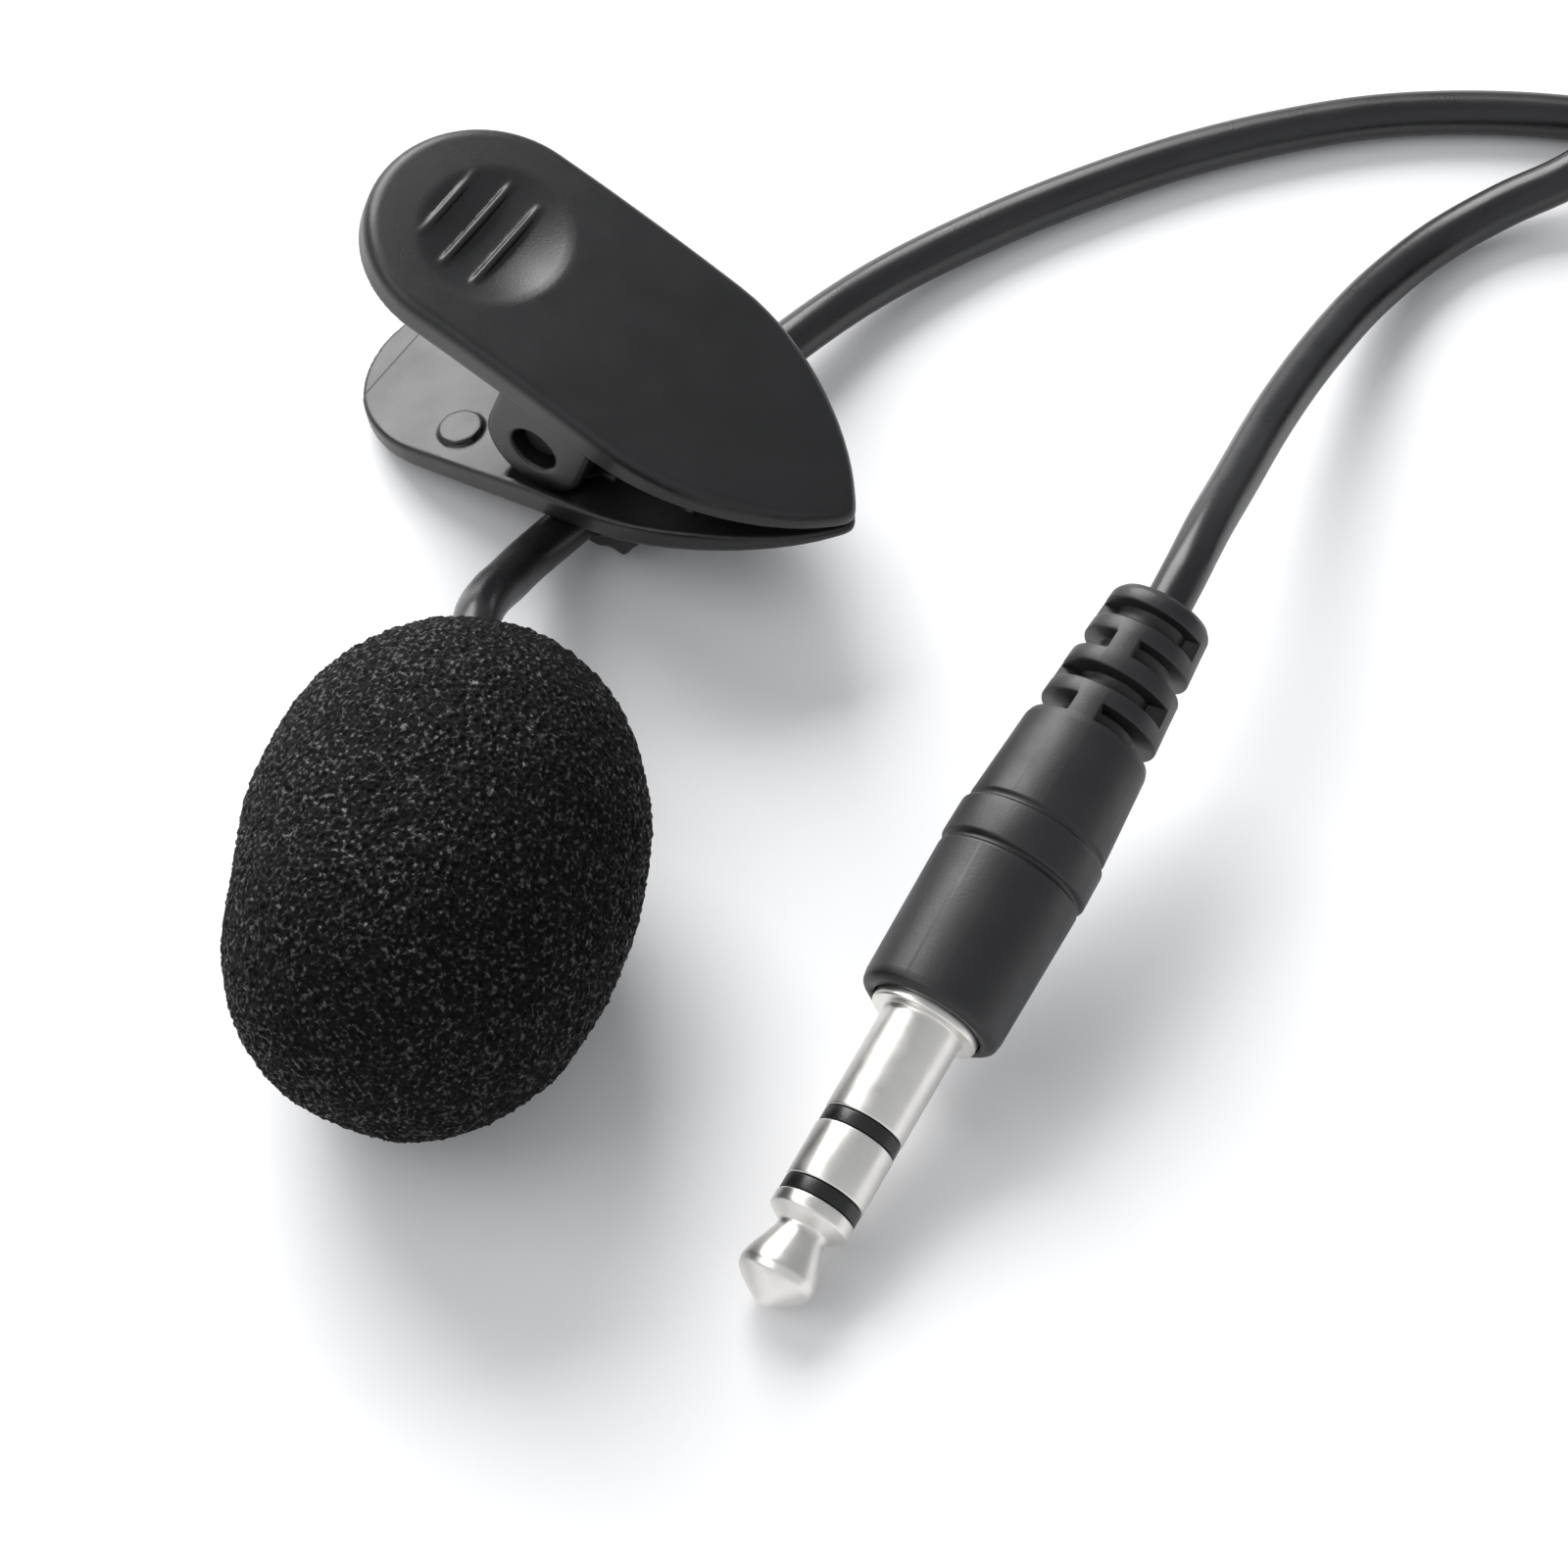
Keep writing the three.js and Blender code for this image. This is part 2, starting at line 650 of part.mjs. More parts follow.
function leadAndCoil() {
  return group(
    [0, 0, 0],
    piece('cord_lead', tube(LEAD_ROUTE, CORD_R, 8, 32), MATERIAL.cordPvc),
    piece('cord_coil', cordCoil(), MATERIAL.cordPvc),
    piece('cord_tail', tube(TAIL_ROUTE, CORD_R, 8, 24), MATERIAL.cordPvc),
    piece('coil_tie', coilTie(), MATERIAL.tie),
  );
}

// ---------------------------------------------------------------- plug

function plugTip() {
  return turned([
    [0, 0],
    [0.3, 0.03],
    [1.3, 0.75],
    [1.6, 1.05],
    [1.68, 1.4],
    [1.6, 1.8],
    [1.08, 3.2],
    [1.1, 3.45],
    [CONTACT_R, 3.9],
    [CONTACT_R, 4.5],
    [1.2, 4.5],
    [TIP_ROD_R, 4.5],
    [TIP_ROD_R, 16.4],
    [0, 16.4],
  ]);
}

function plugSleeve() {
  return turned([
    [SLEEVE_BORE, 8.45],
    [CONTACT_R, 8.45],
    [CONTACT_R, FLANGE_Y],
    [FLANGE_R, FLANGE_Y],
    [FLANGE_R, BODY_FRONT + 0.5],
    [COLLAR_R, BODY_FRONT + 0.5],
    [COLLAR_R, 17.5],
    [SLEEVE_BORE, 17.5],
    [SLEEVE_BORE, 8.45],
  ]);
}

function plugRing() {
  return turned([
    [RING_TUBE_IN, 5.2],
    [CONTACT_R, 5.2],
    [CONTACT_R, 7.75],
    [RING_TUBE_OUT, 7.75],
    [RING_TUBE_OUT, 17.0],
    [RING_TUBE_IN, 17.0],
    [RING_TUBE_IN, 5.2],
  ]);
}

// Outer profile of the moulded body: lip, straight barrel, a proud band, and the taper.
const BODY_PROFILE = [
  [2.75, BODY_FRONT],
  [3.05, BODY_FRONT + 0.2],
  [3.12, BODY_FRONT + 0.6],
  [3.2, 20.5],
  [3.08, 20.7],
  [3.28, 20.9],
  [3.24, 22.6],
  [3.02, 22.8],
  [3.1, 23.0],
  [2.8, 27.1],
  [2.72, 27.3],
  [2.24, PLUG_LENGTH - 0.25],
  [2.05, PLUG_LENGTH],
];

const RELIEF_ROWS = [27.8, 29.4, 31.05, 32.65];
const SLOT_W = 0.8;
const WEB_HALF = 0.5;

// One row of the strain relief: a groove all round but for two webs.
function reliefSlots(y, row) {
  const ring = solid(sleeve(1.62, 4, y - SLOT_W / 2, y + SLOT_W / 2, 20));
  const web = box(-4, 4, y - 1, y + 1, -WEB_HALF, WEB_HALF);
  web.rotateY(rad(row % 2 ? 90 : 0));
  return cut(ring, solid(web));
}

function plugBody() {
  const shell = turned([
    [2.45, BODY_FRONT],
    ...BODY_PROFILE,
    [CORD_R + 0.15, PLUG_LENGTH],
    [CORD_R + 0.15, 25.5],
    [2.45, 25.0],
    [2.45, BODY_FRONT],
  ], 28);
  return cut(solid(shell), ...RELIEF_ROWS.map((y, row) => reliefSlots(y, row)));
}

// A solder lug: a round eye on its tube and a flat tail.
function solderLug(r, y, reach, turn) {
  const eye = solid(sleeve(r, r + 0.35, y, y + 0.4, 20));
  const tail = solid(box(r + 0.1, r + 0.4, y, y + reach, -0.45, 0.45));
  return join(eye, tail).rotate([0, turn, 0]);
}

function plug() {
  const land = CONTACT_R - 0.04; // the insulating rings lie a hair below the contacts
  const rodIn = TIP_ROD_R + 0.05;
  const tubeIn = RING_TUBE_OUT + 0.05;
  const parts = group(
    [0, 0, 0],
    piece('plug_tip', plugTip(), MATERIAL.nickel),
    piece('plug_insulator_front', sleeve(rodIn, land, 4.55, 5.15), MATERIAL.insulator),
    piece('plug_ring', plugRing(), MATERIAL.nickel),
    piece('plug_insulator_rear', sleeve(tubeIn, land, 7.8, 8.4), MATERIAL.insulator),
    piece('plug_sleeve', plugSleeve(), MATERIAL.nickel),
    piece('plug_tip_insulator', sleeve(rodIn, RING_TUBE_IN - 0.05, 5.25, 16.9, 16), MATERIAL.insulator),
    piece('plug_ring_insulator', sleeve(tubeIn, SLEEVE_BORE - 0.05, 8.5, 17.2, 20), MATERIAL.insulator),
    piece('tip_lug', solderLug(0.12, 17.3, 2.6, 0), MATERIAL.brass),
    piece('ring_lug', solderLug(RING_TUBE_IN, 17.8, 2.2, 180), MATERIAL.brass),
    piece('ground_crimp', sleeve(CORD_R + 0.15, 1.6, 20.6, 24.4, 20), MATERIAL.brass),
    piece('plug_body', plugBody(), MATERIAL.plugPvc),
  );
  parts.rotation.y = rad(PLUG_ROLL);
  const laid = group(PLUG_AT, parts);
  laid.rotation.order = 'ZXY';
  laid.rotation.z = rad(PLUG_TURN);
  laid.rotation.x = rad(PLUG_RISE);
  return laid;
}

// ---------------------------------------------------------------- the whole microphone

const microphone = group(CENTRED, micHead(), clip(), leadAndCoil(), plug());

export default microphone;
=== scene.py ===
"""Looks of the clip-on lavalier microphone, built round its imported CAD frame. Sizes are in millimetres."""

import json
import math

import bpy
import numpy as np
from mathutils import Matrix, Vector, noise


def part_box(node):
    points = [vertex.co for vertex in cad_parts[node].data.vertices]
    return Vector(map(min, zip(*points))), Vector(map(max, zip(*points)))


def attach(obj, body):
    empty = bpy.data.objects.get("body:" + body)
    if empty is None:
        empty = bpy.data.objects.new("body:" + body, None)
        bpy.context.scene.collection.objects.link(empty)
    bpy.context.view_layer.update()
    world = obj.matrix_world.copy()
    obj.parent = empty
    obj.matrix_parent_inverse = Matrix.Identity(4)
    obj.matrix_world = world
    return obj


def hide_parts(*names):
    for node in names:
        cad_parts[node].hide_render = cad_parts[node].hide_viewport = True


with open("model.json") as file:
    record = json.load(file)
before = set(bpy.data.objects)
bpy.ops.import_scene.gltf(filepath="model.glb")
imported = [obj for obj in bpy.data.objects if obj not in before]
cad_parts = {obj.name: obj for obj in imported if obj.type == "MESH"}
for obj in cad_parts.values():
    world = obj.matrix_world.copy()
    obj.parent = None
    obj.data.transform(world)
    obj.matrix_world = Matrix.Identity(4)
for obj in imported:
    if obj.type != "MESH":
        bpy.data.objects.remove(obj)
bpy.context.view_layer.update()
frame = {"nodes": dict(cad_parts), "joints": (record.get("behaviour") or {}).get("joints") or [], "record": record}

MM = 0.001
JOINTS = {joint["name"]: joint for joint in frame["joints"]}
MOUNTS = {mount["name"]: mount for mount in frame["record"]["mounts"]}

# ---------------------------------------------------------------- sizes, in millimetres

CENTRED = np.array([0.18, 1.11, 0.0])  # from the routes' own origin to the frame's
GAP = 0.3
FIT = 0.1

CORD_D = 2.0
CORD_R = CORD_D / 2

# Head, along the axis of the windscreen's slide
SHELL_R = 3.8
SHELL_WALL = 0.4
SHELL_FRONT = -6.4
SHELL_REAR = 8.3
GLAND_END = 11.3
FOAM_R = 8.2
FOAM_HALF = 11.2
FOAM_FULLEST = 0.3
FOAM_YAW = -6.5  # the foam sits a little askew on the shell
BORE_R = SHELL_R + GAP
BORE_FRONT = -7.0
BORE_REAR = 8.9
LIP_R = 2.15
CELL = 0.27  # size of the foam's cells
CELL_DEPTH = 0.24

# Clip, each lever drawn flat with the pivot at its origin and the jaw along +X
LEVER_SPREAD = 29.8  # angle between the two levers at rest
LOWER_TILT = -13.3
LEVER_W = 5.25
THUMB_X = -6.8
DISH_X = -7.0
DISH_R = 8.2
DISH_DEEP = 0.65
RIDGES = (-1.95, -0.45, 1.1)
RIDGE_REACH = 3.1
TIP_X = 12.6
UPPER_TOP = 4.9
LOWER_BOTTOM = -3.4
EAR_R = 2.4
EAR_OUTER = 4.6
EAR_INNER = 3.4
LUG_R = 2.1
LUG_OUTER = 3.1
LUG_INNER = 1.9
PIN_R = 0.95
PIVOT_BORE = 1.1
STEM_X = 1.3
STEM_R = 0.8
RIVET_R = 1.5
SWIVEL_R = 3.3
SWIVEL_DEEP = 0.5
STUD = (-5.3, 3.4)
STUD_R = 1.0
STEP_X = -10.8  # where the lower lever gets thinner, near its thumb end
TEETH = (6.6, 7.5, 8.4, 9.3)
HOOK_HALF = 3.6
CORD_CROSS = 9.57
CORD_IN_CLIP = (2.34, 0.0, -4.25)

# Spring
WIRE_R = 0.25
SPRING_R = 1.4
SPRING_TURNS = 5
SPRING_PITCH = 0.62

# Plug, along its axis from the tip
PLUG_ROLL = 87
CONTACT_R = 1.75
FLANGE_Y = 13.35
BODY_FRONT = 13.7
PLUG_LENGTH = 33.9
CRIMP_MIDDLE = 22.5
RELIEF_ROWS = (27.8, 29.4, 31.05, 32.65)
SLOT_W = 0.8
WEB_HALF = 0.5
SLOT_FLOOR = 1.62
RELIEF_R = 2.3  # of the strain relief, near its lead end

# Put-away coil
COIL_AT = (69.6, 30.6)
COIL_OUTER_TURN = 15.6
COIL_FLOOR = 1.35
COIL_TURNS_IN_LAYER = (5, 5, 4, 4)
COIL_IN = 6.6
COIL_OUT = 16.6
COIL_TOP = 8.35
TIE_W = 4.0
TIE_T = 0.7

# The lead's axis from the microphone to the coil, and from the coil to the plug
LEAD_ROUTE = [
    (-3.29, -1.76, 8.25),
    (-3.1, 0.0, 7.75),
    (-2.68, 2.2, 6.2),
    (-2.1, 4.3, 4.4),
    (-1.3, 6.6, 2.75),
    (-0.12, 8.5, 1.95),
    (3.46, 12.27, 1.95),
    (6.7, 15.68, 1.95),
    (10.08, 19.23, 1.93),
    (13.7, 22.7, 1.4),
    (18.2, 25.8, 1.1),
    (22.65, 28.15, 1.05),
    (27.05, 30.05, 1.05),
    (31.3, 31.4, 1.05),
    (35.6, 32.3, 1.05),
    (39.9, 32.55, 1.05),
    (44.2, 32.26, 1.05),
    (47.2, 31.6, 1.05),
    (49.8, 30.1, 1.05),
    (51.8, 27.3, 1.05),
    (53.1, 23.6, 1.05),
]
TAIL_ROUTE = [
    (54.6, 40.4, 7.2),
    (52.6, 36.8, 6.5),
    (50.5, 33.6, 5.3),
    (48.6, 31.4, 4.1),
    (46.4, 29.6, 2.9),
    (43.9, 28.15, 2.0),
    (41.0, 26.95, 1.4),
    (38.0, 25.0, 1.2),
    (35.1, 21.8, 1.75),
    (32.5, 17.4, 3.2),
    (30.3, 12.7, 4.9),
    (28.3, 7.5, 6.9),
    (27.0, 4.1, 8.2),
    (26.0, 1.5, 8.75),
    (25.2, -0.17, 8.61),
]

# Camera and light
CAMERA_TARGET = (9.68, -1.89, 0.0)
CAMERA_DISTANCE = 320
CAMERA_ELEVATION = 55
CAMERA_LENS = 176.1
WORLD_BEHIND = 0.4
WORLD_IN_FRONT = 0.72


# ---------------------------------------------------------------- frames of the sub-assemblies


def placed(origin, y_axis, z_axis):
    """The frame in metres with that origin and those two axes, z only roughly given."""
    y = Vector(y_axis).normalized()
    x = y.cross(Vector(z_axis)).normalized()
    z = x.cross(y)
    turned = Matrix((x, y, z)).transposed().to_4x4()
    return Matrix.Translation(Vector(origin)) @ turned


def middle(node):
    """Middle of a CAD node's box, in metres."""
    low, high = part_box(node)
    return (low + high) / 2


def turn(degrees, axis):
    """A turn about one of the axes."""
    return Matrix.Rotation(math.radians(degrees), 4, axis)


def head_frame():
    """The microphone's own frame, whose +Y runs along the shell to the lead."""
    y = -Vector(JOINTS["windscreen_slide"]["axis"])
    return placed(middle("capsule_shell") - y * (SHELL_FRONT + SHELL_REAR) / 2 * MM, y, (0, 0, 1))


def lower_frame():
    """The lower lever's frame: the pivot along Y and the hook's swivel along Z."""
    pivot = JOINTS["jaw_pivot"]
    return placed(pivot["pos_m"], -Vector(pivot["axis"]), JOINTS["clip_swivel"]["axis"])


def plug_frame():
    """The plug's frame, whose +Y runs from the tip to the lead, found from the crimp on its axis."""
    y = -Vector(MOUNTS["plug_shoulder"]["axis"])
    tip = middle("ground_crimp") - y * CRIMP_MIDDLE * MM
    return placed(tip, y, (0, 0, 1)) @ turn(PLUG_ROLL, "Y")


HEAD = head_frame()
LOWER = lower_frame()
UPPER = LOWER @ turn(LEVER_SPREAD, "Y")
PLUG = plug_frame()


# ---------------------------------------------------------------- shader helpers


def new_material(name):
    """A node material with its shader, and object coordinates in millimetres."""
    material = bpy.data.materials.new(name)
    material.use_nodes = True
    nodes = material.node_tree.nodes
    shader = nodes["Principled BSDF"]
    coordinates = nodes.new("ShaderNodeTexCoord")
    scaled = nodes.new("ShaderNodeVectorMath")
    scaled.operation = "SCALE"
    scaled.inputs["Scale"].default_value = 1 / MM
    material.node_tree.links.new(coordinates.outputs["Object"], scaled.inputs[0])
    return material, shader, scaled.outputs["Vector"]


def link(material, output, target):
    material.node_tree.links.new(output, target)


def noise_value(material, place, per_mm, detail=4.0, roughness=0.5, stretch=None):
    """A noise from 0 to 1 with that many cells in a millimetre."""
    nodes = material.node_tree.nodes
    if stretch:
        mapping = nodes.new("ShaderNodeMapping")
        mapping.inputs["Scale"].default_value = stretch
        link(material, place, mapping.inputs["Vector"])
        place = mapping.outputs["Vector"]
    texture = nodes.new("ShaderNodeTexNoise")
    texture.inputs["Scale"].default_value = per_mm
    texture.inputs["Detail"].default_value = detail
    texture.inputs["Roughness"].default_value = roughness
    link(material, place, texture.inputs["Vector"])
    return texture.outputs["Fac"]


def cell_value(material, place, per_mm):
    """Distance from the middle of each cell."""
    texture = material.node_tree.nodes.new("ShaderNodeTexVoronoi")
    texture.inputs["Scale"].default_value = per_mm
    link(material, place, texture.inputs["Vector"])
    return texture.outputs["Distance"]


def ramp(material, value, low, high, start=0.3, end=0.7):
    """A colour or grey that goes from low to high as the value goes from start to end."""
    node = material.node_tree.nodes.new("ShaderNodeValToRGB")
    first, last = node.color_ramp.elements
    first.position, last.position = start, end
    first.color, last.color = [(*c, 1.0) if len(c) == 3 else c for c in (low, high)]
    link(material, value, node.inputs["Fac"])
    return node.outputs["Color"]


def grey(value):
    return (value, value, value)


def bump(material, shader, height, depth_mm, strength=1.0, below=None):
    """Relief of that depth from a height between 0 and 1, over any relief already there."""
    node = material.node_tree.nodes.new("ShaderNodeBump")
    node.inputs["Strength"].default_value = strength
    node.inputs["Distance"].default_value = depth_mm * MM
    link(material, height, node.inputs["Height"])
    if below:
        link(material, below, node.inputs["Normal"])
    link(material, node.outputs["Normal"], shader.inputs["Normal"])
    return node.outputs["Normal"]


def moulded(name, dark, light, rough, grain_per_mm=9.0, grain_depth=0.006, specular=0.5):
    """Moulded or extruded plastic: fine grain, soft mottling and rubbed patches."""
    material, shader, place = new_material(name)
    mottling = noise_value(material, place, 0.35, 3.0)
    link(material, ramp(material, mottling, dark, light), shader.inputs["Base Color"])
    rubbed = noise_value(material, place, 0.5, 4.0, 0.55)
    rough_low, rough_high = grey(rough[0]), grey(rough[1])
    link(material, ramp(material, rubbed, rough_low, rough_high), shader.inputs["Roughness"])
    shader.inputs["Specular IOR Level"].default_value = specular
    waves = noise_value(material, place, 0.45, 2.0)
    soft = bump(material, shader, waves, 0.008, 0.5)
    grain = noise_value(material, place, grain_per_mm, 3.0)
    bump(material, shader, grain, grain_depth, 1.0, soft)
    return material


def metal(name, colour, rough, lines_along=None, depth=0.002):
    """Bright metal with fine tool marks, and duller where it has been handled."""
    material, shader, place = new_material(name)
    shader.inputs["Metallic"].default_value = 1.0
    tint = noise_value(material, place, 0.5, 4.0)
    darker = tuple(c * 0.93 for c in colour)
    link(material, ramp(material, tint, darker, colour), shader.inputs["Base Color"])
    smudges = noise_value(material, place, 0.9, 6.0, 0.6)
    low, high = grey(rough[0]), grey(rough[1])
    link(material, ramp(material, smudges, low, high, 0.35, 0.75), shader.inputs["Roughness"])
    marks = noise_value(material, place, 6.0, 2.0, 0.5, lines_along)
    bump(material, shader, marks, depth, 0.6)
    return material


def foam_material():
    """Open-cell foam: painted shade in the pits between thin cell walls, and painted glints on some walls where
    they would catch the light.
    """
    material, shader, place = new_material("foam")
    cells = cell_value(material, place, 1 / CELL)
    fine = noise_value(material, place, 7.0, 3.0, 0.6)
    specks = noise_value(material, place, 4.6, 1.0)
    # painted shade: the colour darkens towards the middle of each cell, where its pit lies in shade
    painted_pit_shade = ramp(material, cells, (0.002, 0.002, 0.002), (0.012, 0.012, 0.013), 0.2, 0.8)
    # painted glints: bright specks multiplied into the colour, where walls would catch the light
    painted_glints = ramp(material, specks, grey(0.4), grey(3.6), 0.55, 0.8)
    painted_glints_on_shade = material.node_tree.nodes.new("ShaderNodeMix")
    painted_glints_on_shade.data_type = "RGBA"
    painted_glints_on_shade.blend_type = "MULTIPLY"
    painted_glints_on_shade.inputs["Factor"].default_value = 1.0
    link(material, painted_pit_shade, painted_glints_on_shade.inputs["A"])
    link(material, painted_glints, painted_glints_on_shade.inputs["B"])
    link(material, painted_glints_on_shade.outputs["Result"], shader.inputs["Base Color"])
    link(material, ramp(material, specks, grey(0.75), grey(0.4), 0.5, 0.7), shader.inputs["Roughness"])
    shine = ramp(material, specks, grey(0.1), grey(0.7), 0.54, 0.8)
    link(material, shine, shader.inputs["Specular IOR Level"])
    relief = bump(material, shader, cells, 0.14, 1.0)
    bump(material, shader, fine, 0.06, 0.9, relief)
    return material


def woven(name, dark, light, threads_per_mm):
    """Woven cloth: two crossing sets of threads, with painted shade where the threads lie low."""
    material, shader, place = new_material(name)
    nodes = material.node_tree.nodes
    heights = []
    for direction in ("X", "Y"):
        wave = nodes.new("ShaderNodeTexWave")
        wave.bands_direction = direction
        wave.inputs["Scale"].default_value = threads_per_mm
        wave.inputs["Distortion"].default_value = 0.6
        link(material, place, wave.inputs["Vector"])
        heights.append(wave.outputs["Fac"])
    crossing = nodes.new("ShaderNodeMath")
    crossing.operation = "MULTIPLY"
    link(material, heights[0], crossing.inputs[0])
    link(material, heights[1], crossing.inputs[1])
    # painted shade: the colour follows the threads' height, darker in the hollows between them and lighter on
    # their tops
    link(material, ramp(material, crossing.outputs[0], dark, light, 0.1, 0.9), shader.inputs["Base Color"])
    shader.inputs["Roughness"].default_value = 0.85
    shader.inputs["Sheen Weight"].default_value = 0.3
    bump(material, shader, crossing.outputs[0], 0.08, 0.9)
    return material


def make_materials():
    """One material for each of the record's slots, and one near-black steel for the pivot pin, whose darkness is
    painted shade for its shadowed bore.
    """
    black = (0.006, 0.006, 0.0065)
    return {
        "foam": foam_material(),
        "clip_plastic": moulded("clip_plastic", (0.006, 0.0062, 0.0066), (0.009, 0.009, 0.01), (0.35, 0.42)),
        "shell_plastic": moulded("shell_plastic", black, (0.01, 0.01, 0.011), (0.35, 0.5)),
        "cord_pvc": moulded("cord_pvc", (0.008, 0.008, 0.009), (0.014, 0.014, 0.015), (0.25, 0.34)),
        "plug_pvc": moulded("plug_pvc", (0.009, 0.009, 0.01), (0.015, 0.015, 0.016), (0.38, 0.52)),
        "insulator": moulded("insulator", (0.006, 0.006, 0.006), (0.012, 0.012, 0.012), (0.25, 0.4)),
        "rubber": moulded("rubber", (0.008, 0.008, 0.009), (0.016, 0.016, 0.017), (0.6, 0.8), 6.0, 0.01, 0.3),
        "film": moulded("film", (0.5, 0.4, 0.18), (0.62, 0.52, 0.28), (0.2, 0.35)),
        "board": moulded("board", (0.01, 0.07, 0.03), (0.02, 0.12, 0.05), (0.3, 0.45)),
        "chip": moulded("chip", (0.01, 0.01, 0.01), (0.016, 0.016, 0.016), (0.3, 0.45)),
        "wire_insulation": moulded("wire_insulation", (0.28, 0.01, 0.01), (0.4, 0.02, 0.015), (0.3, 0.42)),
        "felt": woven("felt", (0.01, 0.01, 0.009), (0.04, 0.04, 0.036), 3.0),
        "tie_fabric": woven("tie_fabric", (0.006, 0.006, 0.006), (0.03, 0.03, 0.032), 2.2),
        "nickel": metal("nickel", (0.84, 0.82, 0.785), (0.3, 0.42), depth=0.0005),
        "spring_steel": metal("spring_steel", (0.5, 0.5, 0.51), (0.22, 0.4)),
        # painted shade: a near-black steel for the pin, standing in for the shade in the bore
        "painted_shade_steel": metal("painted_shade_steel", (0.02, 0.02, 0.021), (0.5, 0.65)),
        "brass": metal("brass", (0.68, 0.48, 0.2), (0.22, 0.4)),
        "can_aluminium": metal("can_aluminium", (0.75, 0.75, 0.76), (0.25, 0.42), (0.3, 3.0, 0.3)),
        "grille_metal": metal("grille_metal", (0.62, 0.61, 0.6), (0.25, 0.4)),
    }


MATERIAL = make_materials()


# ---------------------------------------------------------------- mesh helpers


def add_piece(name, places, faces, place, slot, body, stands_for):
    """A smooth mesh, given in millimetres in its own frame, which stands for CAD nodes."""
    mesh = bpy.data.meshes.new(name)
    world = np.array(place)
    points = np.asarray(places, float) * MM @ world[:3, :3].T + world[:3, 3]
    mesh.from_pydata(points.tolist(), [], [list(face) for face in faces])
    mesh.validate()
    mesh.polygons.foreach_set("use_smooth", [True] * len(mesh.polygons))
    obj = bpy.data.objects.new(name, mesh)
    bpy.context.scene.collection.objects.link(obj)
    mesh.materials.append(MATERIAL[slot])
    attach(obj, body)
    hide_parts(*stands_for)
    return obj


def flat_where_flat(obj):
    """Shading that keeps large faces flat and turns only over their rounded edges."""
    modifier = obj.modifiers.new("flats", "WEIGHTED_NORMAL")
    modifier.weight = 80
    return obj


def softened(profile, reach, bends=4):
    """A profile whose sharp corners are rounded, each over at most that reach."""
    points = [np.array(p, float) for p in profile]
    closed = np.allclose(points[0], points[-1])
    found = [] if closed else [points[0]]
    last = len(points) - 1
    for i in range(0 if closed else 1, last):
        here = points[i]
        before, after = points[i - 1 if i else last - 1] - here, points[i + 1] - here
        a, b = np.linalg.norm(before), np.linalg.norm(after)
        bend = math.degrees(math.pi - math.acos(np.clip(before @ after / (a * b), -1, 1)))
        r = min(reach, a * 0.4, b * 0.4)
        if bend < 12 or here[0] < 1e-6:
            found.append(here)
            continue
        start, end = here + before / a * r, here + after / b * r
        for k in range(bends + 1):
            t = k / bends
            found.append((1 - t) ** 2 * start + 2 * t * (1 - t) * here + t * t * end)
    found.append(found[0] if closed else points[-1])
    return found


def lathe(profile, columns=96):
    """Points and faces turned about Y from [radius, y] points, closed on itself or on the axis."""
    closed = np.allclose(profile[0], profile[-1])
    rows = profile[:-1] if closed else profile
    angles = np.linspace(0, 2 * math.pi, columns, endpoint=False)
    places, ring = [], []
    for r, y in rows:
        if r < 1e-6:
            ring.append([len(places)] * columns)
            places.append((0.0, y, 0.0))
            continue
        ring.append(list(range(len(places), len(places) + columns)))
        places += [(r * math.cos(a), y, r * math.sin(a)) for a in angles]
    pairs = list(zip(ring, ring[1:])) + ([(ring[-1], ring[0])] if closed else [])
    return np.array(places), bands(pairs, columns)


def bands(pairs, columns):
    """Faces between neighbouring rings of points, as triangles where a ring is one point."""
    faces = []
    for low, high in pairs:
        for i in range(columns):
            j = (i + 1) % columns
            corners = (low[i], high[i], high[j], low[j])
            faces.append(tuple(dict.fromkeys(corners)))
    return faces


def both(a, b, r=0.0):
    """Distance to where a and b overlap, with the edge between them rounded to radius r."""
    if not r:
        return np.maximum(a, b)
    outside = np.hypot(np.maximum(a + r, 0), np.maximum(b + r, 0))
    return np.minimum(np.maximum(a, b), -r) + outside


def either(a, b, r=0.0):
    """Distance to a and b joined, with a fillet of radius r where they meet."""
    return -both(-a, -b, r)


def without(a, b, r=0.0):
    """Distance to a with b cut out of it."""
    return both(a, -b, r)


def grid(low, high, step):
    """Coordinates of a grid over a box, as three arrays that broadcast together."""
    lines = [np.arange(a, b + step, step) for a, b in zip(low, high)]
    return np.meshgrid(*lines, indexing="ij", sparse=True)


